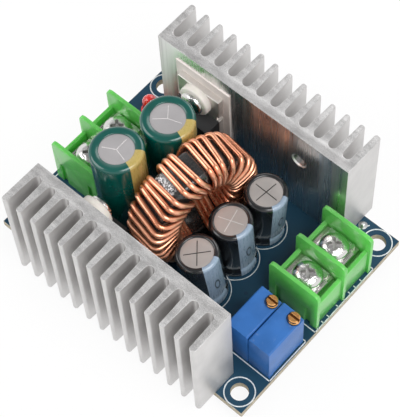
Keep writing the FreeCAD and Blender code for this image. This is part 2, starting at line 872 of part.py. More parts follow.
def build_heat_side(nodes):
    """Heatsinks, their pins and the packages bolted to them."""
    comb = heatsink()
    nodes["heatsink_rear"] = on_rear_heatsink(comb)
    nodes["heatsink_front"] = on_front_heatsink(comb)
    nodes["heatsink_pins"] = group(on_rear_heatsink(foot_pins()).Solids + on_front_heatsink(foot_pins()).Solids)
    nodes["controller_frame"] = at_rear(controller_frame())
    nodes["controller_body"] = at_rear(package_body()).cut(nodes["controller_frame"].Solids)
    nodes["rectifier_frame"] = at_front(rectifier_frame())
    nodes["rectifier_body"] = at_front(package_body()).cut(nodes["rectifier_frame"].Solids)
    nodes["insulating_pads"] = group([at_rear(insulating_pad()), at_front(insulating_pad())])
    nodes["tab_bushings"] = group([at_rear(tab_bushing()), at_front(tab_bushing())])
    nodes["tab_screws"] = group([at_rear(tab_screw()), at_front(tab_screw())])


def build_energy_storage(nodes):
    """Inductor and capacitors."""
    nodes["inductor_core"] = toroid_core()
    nodes["inductor_winding"] = winding()
    nodes["inductor_wire_ends"] = wire_ends()
    for spec in tall_capacitors:
        pieces = capacitor(spec, tall_can_radius, tall_can_height, tall_lead_pitch, tall_sleeve_lip)
        for kind, piece in zip(("sleeve", "can", "leads"), pieces):
            nodes["tall_capacitor_" + spec[0] + "_" + kind] = piece
    for spec in short_capacitors:
        pieces = capacitor(spec, short_can_radius, short_can_height, short_lead_pitch, short_sleeve_lip)
        for kind, piece in zip(("sleeve", "can", "leads"), pieces):
            nodes["short_capacitor_" + spec[0] + "_" + kind] = piece


def build_connections(nodes):
    """Terminal blocks, trimmers and lamp."""
    housing = terminal_housing()
    for side, place in (("input", at_input), ("output", at_output)):
        nodes[side + "_terminal_housing"] = place(housing)
        nodes[side + "_terminal_contacts"] = group([place(contact(centre)) for centre in pole_centres()])
        for index, centre in enumerate(pole_centres()):
            label = "ab"[index]
            nodes[side + "_clamp_washer_" + label] = place(clamp_washer(centre))
            nodes[side + "_terminal_screw_" + label] = place(terminal_screw(centre))
    for side, place in (("inner", at_inner_trimmer), ("outer", at_outer_trimmer)):
        nodes[side + "_trimmer_body"] = place(trimmer_body())
        nodes[side + "_trimmer_screw"] = place(adjusting_screw())
        nodes[side + "_trimmer_pins"] = place(trimmer_pins())
    nodes["lamp_lens"] = lamp_lens()
    nodes["lamp_leads"] = lamp_leads()


def build_underside(nodes):
    """Flat parts soldered under the board."""
    body, leads = amplifier()
    nodes["amplifier_body"] = under(body, *amplifier_place)
    nodes["amplifier_leads"] = under(leads, *amplifier_place)
    body, feet = regulator()
    nodes["regulator_body"] = under(body, *regulator_place)
    nodes["regulator_feet"] = under(feet, *regulator_place)
    shunts = []
    for x, y in shunt_places:
        shunts += [under(piece, x, y) for piece in shunt()]
    nodes["shunt_resistors"] = group(shunts)
    nodes["chip_components"] = group([under(chip(), x, y) for x, y in chip_places])


def main():
    nodes = {}
    build_heat_side(nodes)
    build_energy_storage(nodes)
    build_connections(nodes)
    through = [nodes[name] for name in nodes
               if name.endswith(("_pins", "_leads", "_contacts", "_frame", "_wire_ends"))]
    nodes["circuit_board"] = circuit_board(through)
    build_underside(nodes)
    os.makedirs("parts", exist_ok=True)
    for name in sorted(nodes):
        shape = nodes[name]
        shape.translate(origin_shift)
        shape.exportStep("parts/" + name + ".step")


main()
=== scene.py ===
"""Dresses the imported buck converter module: metal, plastic, copper wire, films, inks and light.

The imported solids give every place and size. Pieces are modelled with Blender's own tools, in metres, in the
same frame as the solids, and each rides on the body that carries it.
"""
from __future__ import annotations

import json
import logging
import math
import random
from dataclasses import dataclass
from enum import Enum
from typing import Any, Callable, Sequence

import bmesh
import bpy
from mathutils import Matrix, Vector

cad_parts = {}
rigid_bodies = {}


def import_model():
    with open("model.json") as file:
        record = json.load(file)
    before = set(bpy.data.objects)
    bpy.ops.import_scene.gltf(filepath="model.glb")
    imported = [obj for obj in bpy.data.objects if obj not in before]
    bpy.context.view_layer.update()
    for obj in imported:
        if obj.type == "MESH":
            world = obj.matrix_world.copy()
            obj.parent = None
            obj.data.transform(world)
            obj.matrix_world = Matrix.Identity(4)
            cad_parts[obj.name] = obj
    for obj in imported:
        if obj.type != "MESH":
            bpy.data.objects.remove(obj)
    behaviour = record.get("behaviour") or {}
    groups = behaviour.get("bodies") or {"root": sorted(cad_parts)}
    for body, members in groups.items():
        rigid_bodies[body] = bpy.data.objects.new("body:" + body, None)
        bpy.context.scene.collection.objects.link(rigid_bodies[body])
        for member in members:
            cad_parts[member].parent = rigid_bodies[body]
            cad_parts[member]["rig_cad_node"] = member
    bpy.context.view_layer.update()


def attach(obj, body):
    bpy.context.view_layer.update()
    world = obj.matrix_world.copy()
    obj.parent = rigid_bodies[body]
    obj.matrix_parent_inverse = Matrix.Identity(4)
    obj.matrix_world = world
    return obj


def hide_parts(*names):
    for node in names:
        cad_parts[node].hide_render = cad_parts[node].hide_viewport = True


LOG = logging.getLogger("buck_converter")
MM = 0.001
# Height of the board's upper face over the lowest solder tail, in millimetres.
BOARD_TOP = 3.4
BOARD_THICKNESS = 1.6
# The board's near input corner, on its upper face, as it lies in the frame of the solids, in millimetres.
BOARD_CORNER = Vector((-30.0, -21.875, BOARD_TOP))
# Where the heatsinks' mounting faces stand along Y on the board, and how high their tapped holes are.
REAR_FACE = 38.68
FRONT_FACE = 5.07
TAPPED_HEIGHT = 17.4
# The pair of trimmers on the board: output end, front, width of one, and the gap between them.
TRIMMER_END = 59.4
TRIMMER_FRONT = 8.35
TRIMMER_WIDTH = 4.83
TRIMMER_GAP = 0.23
# Name of the body that everything but the screws and washers rides on.
ROOT = "module"
# Shape of every rounded edge, from a flat 0.5 to a full 1.
EDGE_ROUNDNESS = 0.6
# Points nearer than these are one, in metres: on a turned shape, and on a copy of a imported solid.
WELD_TURNED = 1e-6
WELD_COPY = 2e-6

Colour = tuple[float, float, float]


def spot(x: float, y: float, z: float) -> Vector:
    """Point of the board's own millimetre frame, in metres of the frame of the solids."""
    return (Vector((x, y, z)) + BOARD_CORNER) * MM


def arc(steps: int, sweep: float = math.pi / 2) -> list[float]:
    """Even turns from zero to the sweep, in radians, both ends included."""
    return [sweep * step / steps for step in range(steps + 1)]


def scaled(colour: Colour, share: float) -> Colour:
    """Colour made darker or lighter."""
    return tuple(part * share for part in colour)


# Shader expressions


class Value:
    """A shader socket that takes part in Python expressions."""

    def __init__(self, shader: "Shader", socket: bpy.types.NodeSocket) -> None:
        """Keep the socket with the shader that it belongs to."""
        self.shader = shader
        self.socket = socket

    def _math(self, operation: str, *others: Any, swap: bool = False) -> "Value":
        """Add one Math node.

        Args:
            operation: the node's operation.
            *others: further numbers or values.
            swap: put this value second.

        Returns:
            The node's result.
        """
        terms = [self, *others]
        if swap:
            terms.reverse()
        return self.shader.node("ShaderNodeMath", {"operation": operation}, dict(enumerate(terms)))

    def __add__(self, other: Any) -> "Value":
        """Sum."""
        return self._math("ADD", other)

    __radd__ = __add__

    def __mul__(self, other: Any) -> "Value":
        """Product."""
        return self._math("MULTIPLY", other)

    __rmul__ = __mul__

    def __sub__(self, other: Any) -> "Value":
        """Difference."""
        return self._math("SUBTRACT", other)

    def __rsub__(self, other: Any) -> "Value":
        """Difference from a number."""
        return self._math("SUBTRACT", other, swap=True)

    def __truediv__(self, other: Any) -> "Value":
        """Quotient."""
        return self._math("DIVIDE", other)

    def __abs__(self) -> "Value":
        """Size without sign."""
        return self._math("ABSOLUTE")

    def power(self, exponent: float) -> "Value":
        """Raise to a power."""
        return self._math("POWER", exponent)

    def most(self, other: Any) -> "Value":
        """The larger of two."""
        return self._math("MAXIMUM", other)

    def angle(self, across: "Value") -> "Value":
        """Angle of the point (across, self), in radians."""
        return self._math("ARCTAN2", across)

    def ramp(self, low: float, high: float, start: float = 0.0, end: float = 1.0) -> "Value":
        """Smooth step from start at low to end at high.

        Args:
            low: where the step begins.
            high: where it ends.
            start: result below low.
            end: result above high.

        Returns:
            The stepped value.
        """
        return self.shader.node(
            "ShaderNodeMapRange", {"interpolation_type": "SMOOTHSTEP"},
            {"Value": self, "From Min": low, "From Max": high, "To Min": start, "To Max": end})


class Shader:
    """One material's node tree, written as expressions."""

    def __init__(self, name: str) -> None:
        """Start an empty node material with a Principled BSDF and an output."""
        self.material = bpy.data.materials.new(name)
        self.material.use_nodes = True
        self.tree = self.material.node_tree
        self.tree.nodes.clear()
        self.output = self.tree.nodes.new("ShaderNodeOutputMaterial")
        self.surface = self.tree.nodes.new("ShaderNodeBsdfPrincipled")
        self.tree.links.new(self.surface.outputs[0], self.output.inputs["Surface"])
        self.place = self.tree.nodes.new("ShaderNodeTexCoord")

    def link(self, value: Value, socket: bpy.types.NodeSocket) -> None:
        """Feed a value into a socket."""
        self.tree.links.new(value.socket, socket)

    def ray(self, kind: str) -> Value:
        """One where a ray is of the named kind, such as Camera or Glossy."""
        return self.node("ShaderNodeLightPath", out=f"Is {kind} Ray")

    def node(self, kind: str, settings: dict[str, Any] | None = None, sockets: dict[Any, Any] | None = None,
             out: int | str = 0) -> Value:
        """Add any node.

        Args:
            kind: Blender's name for the node's type.
            settings: the node's own properties.
            sockets: values or links, by socket name or number.
            out: the output to return.

        Returns:
            The chosen output as a value.
        """
        node = self.tree.nodes.new(kind)
        for key, setting in (settings or {}).items():
            setattr(node, key, setting)
        for key, value in (sockets or {}).items():
            if isinstance(value, Value):
                self.link(value, node.inputs[key])
            else:
                node.inputs[key].default_value = value
        return Value(self, node.outputs[out])

    def object_point(self) -> Value:
        """Place on the object, in metres."""
        return Value(self, self.place.outputs["Object"])

    def facing(self) -> tuple[Value, Value, Value]:
        """The three parts of the surface's own direction."""
        return self.split(Value(self, self.place.outputs["Normal"]))

    def split(self, vector: Value) -> tuple[Value, Value, Value]:
        """The three parts of a vector."""
        first = self.node("ShaderNodeSeparateXYZ", None, {0: vector})
        outs = first.socket.node.outputs
        return Value(self, outs[0]), Value(self, outs[1]), Value(self, outs[2])

    def noise(self, scale: float, detail: float = 3.0, rough: float = 0.5,
              vector: Value | None = None) -> Value:
        """Fractal noise about 0.5."""
        return self.node("ShaderNodeTexNoise", None,
                         {"Vector": vector or self.object_point(), "Scale": scale,
                          "Detail": detail, "Roughness": rough})

    def stretched(self, scale: Sequence[float], detail: float = 3.0, rough: float = 0.6) -> Value:
        """Fractal noise drawn out along an axis.

        Args:
            scale: noise scale along x, y and z; the smallest is the long way.
            detail: octaves.
            rough: how strong the finer octaves are.

        Returns:
            The noise, about 0.5.
        """
        place = self.node("ShaderNodeMapping", None,
                          {"Vector": self.object_point(), "Scale": tuple(scale)})
        return self.noise(1.0, detail, rough, place)

    def cells(self, scale: float, feature: str = "F1") -> Value:
        """Distance to scattered points."""
        return self.node("ShaderNodeTexVoronoi", {"feature": feature},
                         {"Vector": self.object_point(), "Scale": scale}, "Distance")

    def cloudy(self, cloud: Value, low: Any, high: Any) -> Value:
        """Blend two colours by the middle of a noise."""
        return self.mix(cloud.ramp(0.3, 0.7), low, high)

    def mix(self, mask: Any, low: Any, high: Any) -> Value:
        """Blend two colours by a mask."""
        pair = {}
        for key, colour in ((6, low), (7, high)):
            pair[key] = colour if isinstance(colour, Value) else (*colour, 1.0)
        return self.node("ShaderNodeMix", {"data_type": "RGBA"}, {0: mask, **pair}, 2)

    def set(self, **sockets: Any) -> None:
        """Fill the surface's own sockets; underscores stand for spaces."""
        for key, value in sockets.items():
            socket = self.surface.inputs[key.replace("_", " ")]
            if isinstance(value, Value):
                self.link(value, socket)
            elif isinstance(value, tuple) and len(value) == 3 and socket.type == "RGBA":
                socket.default_value = (*value, 1.0)
            else:
                socket.default_value = value

    def bump(self, height: Value, strength: float, distance_mm: float) -> None:
        """Raise the surface by a height that varies, in millimetres at full strength."""
        sockets = {"Strength": strength, "Distance": distance_mm * MM, "Height": height}
        self.set(Normal=self.node("ShaderNodeBump", None, sockets, "Normal"))


class Sky(Shader):
    """The world's node tree, written in the same way."""

    def __init__(self, name: str) -> None:
        """Start a world with one background."""
        world = bpy.data.worlds.new(name)
        world.use_nodes = True
        bpy.context.scene.world = world
        self.tree = world.node_tree
        self.tree.nodes.clear()
        self.output = self.tree.nodes.new("ShaderNodeOutputWorld")
        self.surface = self.tree.nodes.new("ShaderNodeBackground")
        self.tree.links.new(self.surface.outputs[0], self.output.inputs["Surface"])
        self.place = self.tree.nodes.new("ShaderNodeTexCoord")

    def height(self) -> Value:
        """How far up a direction points, from -1 to 1."""
        return self.split(Value(self, self.place.outputs["Generated"]))[2]


# Finishes


@dataclass(frozen=True)
class Finish:
    """A named surface finish."""

    name: str

    def build(self) -> bpy.types.Material:
        """Make the material once and hand it out after that."""
        name = f"{self.name}_finish"
        known = bpy.data.materials.get(name)
        if known:
            return known
        shader = Shader(name)
        self.paint(shader)
        return shader.material

    def paint(self, shader: Shader) -> None:
        """Fill the shader."""
        raise NotImplementedError


@dataclass(frozen=True)
class ExtrudedAluminium(Finish):
    """Pressed aluminium section: die lines up its faces, a sawn top, and one smooth mounting face."""

    mounting_side: float = 1.0
    tint: Colour = (0.71, 0.697, 0.69)
    face_tint: Colour = (0.77, 0.765, 0.76)
    # Pale colour painted on the broken edges as a highlight.
    edge_tint: Colour = (0.95, 0.945, 0.94)
    sawn_tints: tuple[Colour, Colour] = ((0.36, 0.354, 0.352), (0.74, 0.73, 0.727))
    # The handled end of the mounting face is duller between these places along X.
    handled_mm: tuple[float, float] = (-21.5, -17.5)

    def paint(self, shader: Shader) -> None:
        """Die lines, saw grain, dull handling patches, and a painted highlight along the broken edges."""
        _, ny, nz = shader.facing()
        dull_end, clean_end = self.handled_mm
        handled = shader.split(shader.object_point())[0].ramp(dull_end * MM, clean_end * MM, 1.0, 0.0)
        top = nz.ramp(0.93, 0.985)
        # The broken edges between the sides and the top, where the highlight is painted.
        edge = nz.ramp(0.25, 0.5) * (1 - top)
        face = (ny * self.mounting_side).ramp(0.9, 0.98)
        lines = shader.stretched((2600, 2600, 28), 4.0, 0.6)
        streaks = shader.stretched((620, 620, 14), 4.0, 0.65)
        grain = shader.stretched((7600, 5200, 7600), 4.0, 0.8)
        scuffs = shader.stretched((300, 900, 300))
        patches = shader.noise(160, 3.0, 0.6)
        shade = shader.mix(patches.ramp(0.35, 0.75), scaled(self.tint, 0.90), self.tint)
        shade = shader.mix(face, shade, self.face_tint)
        shade = shader.mix(face * streaks.ramp(0.50, 0.75), shade, scaled(self.tint, 0.84))
        sawn = shader.mix((grain * 0.7 + scuffs * 0.3).ramp(0.36, 0.64), *self.sawn_tints)
        side_rough = 0.44 + (patches - 0.5) * 0.16 + (lines - 0.5) * 0.1
        face_rough = 0.25 + streaks.ramp(0.45, 0.8) * 0.2 + (lines - 0.5) * 0.12 + handled * 0.3
        rough = side_rough + face * (face_rough - side_rough)
        rough = rough + top * (0.44 + (grain - 0.5) * 0.3 - rough)
        colour = shader.mix(edge, shader.mix(top, shade, sawn), self.edge_tint)
        shader.set(Base_Color=colour, Metallic=0.80 + face * 0.16, Roughness=rough - edge * 0.12)
        height = (lines * 0.5 + streaks * (0.6 + face * 1.3)) * (1 - top) + grain * top * 0.8
        shader.bump(height, 0.5, 0.05)


@dataclass(frozen=True)
class SolderMask(Finish):
    """Blue lacquer over copper tracks, bare fibre at the board's edge."""

    def paint(self, shader: Shader) -> None:
        """Copper poured under the lacquer makes it paler, except in a few small dots with bands in them."""
        _, _, nz = shader.facing()
        flat = abs(nz).ramp(0.5, 0.8)
        pour = shader.cells(150).ramp(0.06, 0.09)
        lanes = shader.node("ShaderNodeTexWave", {"wave_type": "BANDS", "bands_direction": "DIAGONAL"},
                            {"Vector": shader.object_point(), "Scale": 210.0, "Distortion": 0.0})
        tracks = lanes.ramp(0.60, 0.72) * (1 - pour)
        cloud = shader.noise(90, 4.0, 0.6)
        dark = shader.cloudy(cloud, (0.0065, 0.029, 0.056), (0.009, 0.042, 0.080))
        lacquer = shader.mix(pour * 0.75 + tracks * 0.3, dark, (0.012, 0.060, 0.108))
        fibre = shader.stretched((900, 900, 5200), 4.0, 0.7)
        edge = shader.cloudy(fibre, (0.30, 0.25, 0.17), (0.62, 0.56, 0.44))
        shader.set(Base_Color=shader.mix(flat, edge, lacquer), Metallic=0.0,
                   Roughness=0.72 + flat * (0.42 + (cloud - 0.5) * 0.2 - 0.72), Specular_IOR_Level=0.32)
        shader.bump(pour * 0.6 + tracks * 0.5 + fibre * (1 - flat) * 1.5 + cloud * 0.3, 0.45, 0.035)


@dataclass(frozen=True)
class Moulded(Finish):
    """Moulded plastic with faint flow marks and a fine skin texture."""

    tint: Colour
    roughness: float
    glow: float = 0.0
    grain: float = 2600.0
    depth_mm: float = 0.02
    coat: float = 0.0

    def paint(self, shader: Shader) -> None:
        """Flow marks shift the colour a little; the skin texture breaks the gloss."""
        flow = shader.noise(120, 3.0, 0.6)
        skin = shader.noise(self.grain, 3.0, 0.6)
        wear = shader.noise(700, 4.0, 0.7).ramp(0.62, 0.78)
        pale = tuple(min(c * 1.08 + 0.004, 1.0) for c in self.tint)
        colour = shader.cloudy(flow, scaled(self.tint, 0.84), pale)
        shader.set(Base_Color=shader.mix(wear * 0.12, colour, (0.8, 0.8, 0.8)),
                   Roughness=self.roughness + (skin - 0.5) * 0.14 + wear * 0.08, Metallic=0.0,
                   Subsurface_Weight=self.glow, Subsurface_Scale=0.0035,
                   Subsurface_Radius=(0.5, 1.0, 0.4), Coat_Weight=self.coat, Coat_Roughness=0.12)
        shader.bump(skin + flow * 0.6, 0.5, self.depth_mm)


@dataclass(frozen=True)
class PlatedMetal(Finish):
    """Bright plated or bare metal with tool marks and a dull bloom in places."""

    tint: Colour
    roughness: float
    scratch: float
    grime: float
    dents_mm: float = 0.02

    def paint(self, shader: Shader) -> None:
        """Fine scratches in two directions over a patchy bloom."""
        bloom = shader.noise(420, 4.0, 0.65)
        first = shader.stretched((900, 7000, 3000))
        second = shader.stretched((7000, 800, 3000))
        marks = first.ramp(0.52, 0.7) + second.ramp(0.55, 0.72)
        dirt = bloom.ramp(0.48, 0.8) * self.grime
        shader.set(Base_Color=shader.mix(dirt, self.tint, scaled(self.tint, 0.62)), Metallic=1.0,
                   Roughness=self.roughness + bloom.ramp(0.4, 0.8) * 0.16 + marks * 0.08 * self.scratch)
        dents = shader.noise(1350, 2.0, 0.5)
        height = marks * (0.01 / self.dents_mm) + bloom * 0.6 + dents * 0.8
        shader.bump(height, 0.4 * self.scratch, self.dents_mm)


@dataclass(frozen=True)
class EnamelledCopper(Finish):
    """Copper wire under clear enamel, browner in patches where heat has aged it."""

    def paint(self, shader: Shader) -> None:
        """Warm metal with soft clouds and fine brown ripples."""
        cloud = shader.noise(210, 3.0, 0.6)
        ripple = shader.noise(1500, 3.0, 0.6)
        fresh = shader.cloudy(cloud, (0.80, 0.355, 0.215), (0.95, 0.54, 0.375))
        shader.set(Base_Color=shader.mix(ripple.ramp(0.55, 0.85) * 0.3, fresh, (0.40, 0.13, 0.06)),
                   Metallic=0.90, Roughness=0.29 + (cloud - 0.5) * 0.16 + (ripple - 0.5) * 0.1,
                   Coat_Weight=0.6, Coat_Roughness=0.12, Coat_Tint=(1.0, 0.80, 0.66))
        shader.bump(ripple + cloud * 0.5, 0.35, 0.02)


@dataclass(frozen=True)
class CoreLacquer(Finish):
    """Thick black lacquer over a pressed core, lumpy and glossy, with white specks in one place: dried
    varnish with painted glints.
    """

    # Middle of the white specks, varnish with painted glints, on the plan, in metres, its slope there, its
    # half length and width, and the heights between which it comes up.
    specks: tuple[float, float] = (0.0, 0.0)
    slant: float = 0.0
    reach_mm: tuple[float, float] = (3.0, 1.2)
    above_mm: tuple[float, float] = (24.0, 25.0)

    def paint(self, shader: Shader) -> None:
        """Orange-peel lumps catch the light; white specks, varnish with painted glints, gather along a short
        strip.
        """
        x, y, z = shader.split(shader.object_point())
        lumps = shader.cells(1150, "SMOOTH_F1")
        fine = shader.noise(2400, 3.0, 0.6)
        along = x - self.specks[0]
        across = y - self.specks[1] - along * self.slant
        length, width = (reach * MM for reach in self.reach_mm)
        strip = (abs(along).ramp(length * 0.75, length, 1.0, 0.0)
                 * abs(across).ramp(width * 0.5, width, 1.0, 0.0)
                 * z.ramp(self.above_mm[0] * MM, self.above_mm[1] * MM))
        # White specks along the strip: dried varnish, with painted glints among them.
        specks_and_glints = shader.noise(2300, 3.0, 0.7).ramp(0.46, 0.58) * strip
        base = shader.cloudy(fine, (0.012, 0.012, 0.013), (0.030, 0.029, 0.028))
        shader.set(Base_Color=shader.mix(specks_and_glints, base, (0.85, 0.85, 0.87)), Metallic=0.0,
                   Roughness=0.24 + (fine - 0.5) * 0.12 + specks_and_glints * 0.2, Coat_Weight=0.5, Coat_Roughness=0.15)
        shader.bump(lumps + fine * 0.25 + specks_and_glints * 0.6, 0.6, 0.09)


@dataclass(frozen=True)
class SleeveFilm(Finish):
    """Shrunk plastic film with one coloured stripe down a side and bare polarity marks on it."""

    film: Colour
    stripe: Colour
    # The sleeve's foot on the plan, in metres, and its lean along X and Y, in radians.
    centre: tuple[float, float]
    lean: tuple[float, float]
    # Middle and half width of the stripe round the sleeve, in radians.
    stripe_at: float
    stripe_half: float
    # Heights of the marks, in millimetres, the radius they lie on, and their half width and height.
    marks: tuple[float, ...] = ()
    mark_radius: float = 4.1
    mark_half: tuple[float, float] = (0.62, 1.6)

    def paint(self, shader: Shader) -> None:
        """The stripe is an angle about the sleeve's own axis; marks are open ovals on it."""
        x, y, z = shader.split(shader.object_point())
        low = BOARD_CORNER.z * MM
        along = x - self.centre[0] - (z - low) * self.lean[0]
        across = y - self.centre[1] - (z - low) * self.lean[1]
        turn = across * math.cos(self.stripe_at) - along * math.sin(self.stripe_at)
        ahead = across * math.sin(self.stripe_at) + along * math.cos(self.stripe_at)
        angle = turn.angle(ahead)
        band = abs(angle).ramp(self.stripe_half - 0.012, self.stripe_half + 0.012, 1.0, 0.0)
        haze = shader.noise(260, 3.0, 0.55)
        rub = shader.stretched((2400, 2400, 260))
        film = shader.cloudy(haze, scaled(self.film, 0.82), self.film)
        ink = shader.cloudy(haze, scaled(self.stripe, 0.9), self.stripe)
        colour = shader.mix(band, film, ink)
        half_width, half_height = self.mark_half
        for height in self.marks:
            wide, tall = angle * self.mark_radius / half_width, (z / MM - height) / half_height
            oval = (wide * wide + tall * tall).power(0.5)
            ring = oval.ramp(0.62, 0.70) * oval.ramp(1.0, 1.08, 1.0, 0.0)
            colour = shader.mix(ring * band * 0.85, colour, (0.03, 0.035, 0.045))
        shader.set(Base_Color=colour, Roughness=0.20 + (rub - 0.5) * 0.12 + band * 0.08, Metallic=0.0,
                   Coat_Weight=0.5, Coat_Roughness=0.05)
        shader.bump(rub * 0.5 + haze, 0.3, 0.03)


@dataclass(frozen=True)
class DrawnCan(Finish):
    """Top of a drawn aluminium can: satin and faintly lilac."""

    tint: Colour

    def paint(self, shader: Shader) -> None:
        """A fine stipple over soft clouds."""
        stipple = shader.noise(3200, 3.0, 0.7)
        cloud = shader.noise(190, 3.0, 0.5)
        shader.set(Base_Color=shader.cloudy(cloud, scaled(self.tint, 0.88), self.tint),
                   Metallic=0.62, Roughness=0.46 + (stipple - 0.5) * 0.2)
        shader.bump(stipple, 0.4, 0.015)


@dataclass(frozen=True)
class BareInk(Finish):
    """White legend ink, thin and slightly broken."""

    def paint(self, shader: Shader) -> None:
        """The weave under the ink shows as faint grey."""
        weave = shader.noise(1800, 4.0, 0.7)
        shader.set(Base_Color=shader.cloudy(weave, (0.60, 0.66, 0.68), (0.86, 0.88, 0.88)),
                   Roughness=0.6 + (weave - 0.5) * 0.2)
        shader.bump(weave, 0.3, 0.01)


@dataclass(frozen=True)
class ClearRed(Finish):
    """Tinted clear lens."""

    def paint(self, shader: Shader) -> None:
        """Deep red with soft light inside it."""
        cloud = shader.noise(500, 3.0, 0.5)
        shader.set(Base_Color=shader.cloudy(cloud, (0.72, 0.008, 0.008), (0.92, 0.03, 0.025)),
                   Roughness=0.12 + (cloud - 0.5) * 0.05, Transmission_Weight=0.1,
                   Subsurface_Weight=0.5, Subsurface_Scale=0.001, Subsurface_Radius=(1.0, 0.2, 0.1),
                   Coat_Weight=0.8, Coat_Roughness=0.05)
        shader.bump(cloud, 0.15, 0.01)


class Palette(Enum):
    """Every finish on the module."""

    REAR_SINK = ExtrudedAluminium("aluminium_rear", mounting_side=-1.0)
    FRONT_SINK = ExtrudedAluminium("aluminium_front")
    MASK = SolderMask("solder_mask")
    INK = BareInk("legend_ink")
    GREEN = Moulded("green_moulding", (0.125, 0.50, 0.100), 0.30, 0.6, 1900.0, 0.012, 0.25)
    BLUE = Moulded("blue_case", (0.026, 0.150, 0.47), 0.40)
    EPOXY = Moulded("black_epoxy", (0.018, 0.018, 0.019), 0.55, grain=3200.0, depth_mm=0.03)
    PAD = Moulded("silicone_pad", (0.80, 0.735, 0.695), 0.62, grain=2200.0)
    BUSHING = Moulded("white_bushing", (0.74, 0.71, 0.645), 0.42, 0.1, 1800.0, 0.01)
    CERAMIC = Moulded("chip_ceramic", (0.33, 0.24, 0.15), 0.5, depth_mm=0.01)
    RESISTOR = Moulded("resistor_black", (0.02, 0.02, 0.022), 0.35, depth_mm=0.01)
    NICKEL = PlatedMetal("bright_nickel", (0.72, 0.71, 0.695), 0.15, 1.0, 0.5, 0.3)
    # Darker, duller nickel painted into recesses and grooves as shade.
    RECESS = PlatedMetal("shaded_recess", (0.58, 0.57, 0.56), 0.52, 0.9, 0.5, 0.1)
    # Dark metal painted into the tapped holes as shade.
    BORED = PlatedMetal("shaded_thread", (0.26, 0.257, 0.255), 0.22, 0.9, 0.5)
    # Dark brass painted into the adjusting screws' slots as shade.
    SLOT = PlatedMetal("shaded_brass", (0.20, 0.075, 0.02), 0.45, 0.9, 0.5)
    TIN = PlatedMetal("solder_tin", (0.60, 0.60, 0.59), 0.34, 0.5, 0.3)
    TAB = PlatedMetal("tinned_tab", (0.76, 0.73, 0.70), 0.46, 0.7, 0.4)
    CONTACT = PlatedMetal("tinned_brass", (0.62, 0.60, 0.55), 0.14, 0.7, 0.5)
    BRASS = PlatedMetal("adjuster_brass", (0.97, 0.49, 0.175), 0.22, 1.0, 0.6, 0.1)
    COPPER = EnamelledCopper("enamelled_copper")
    RED = ClearRed("red_lens")


# Modelling


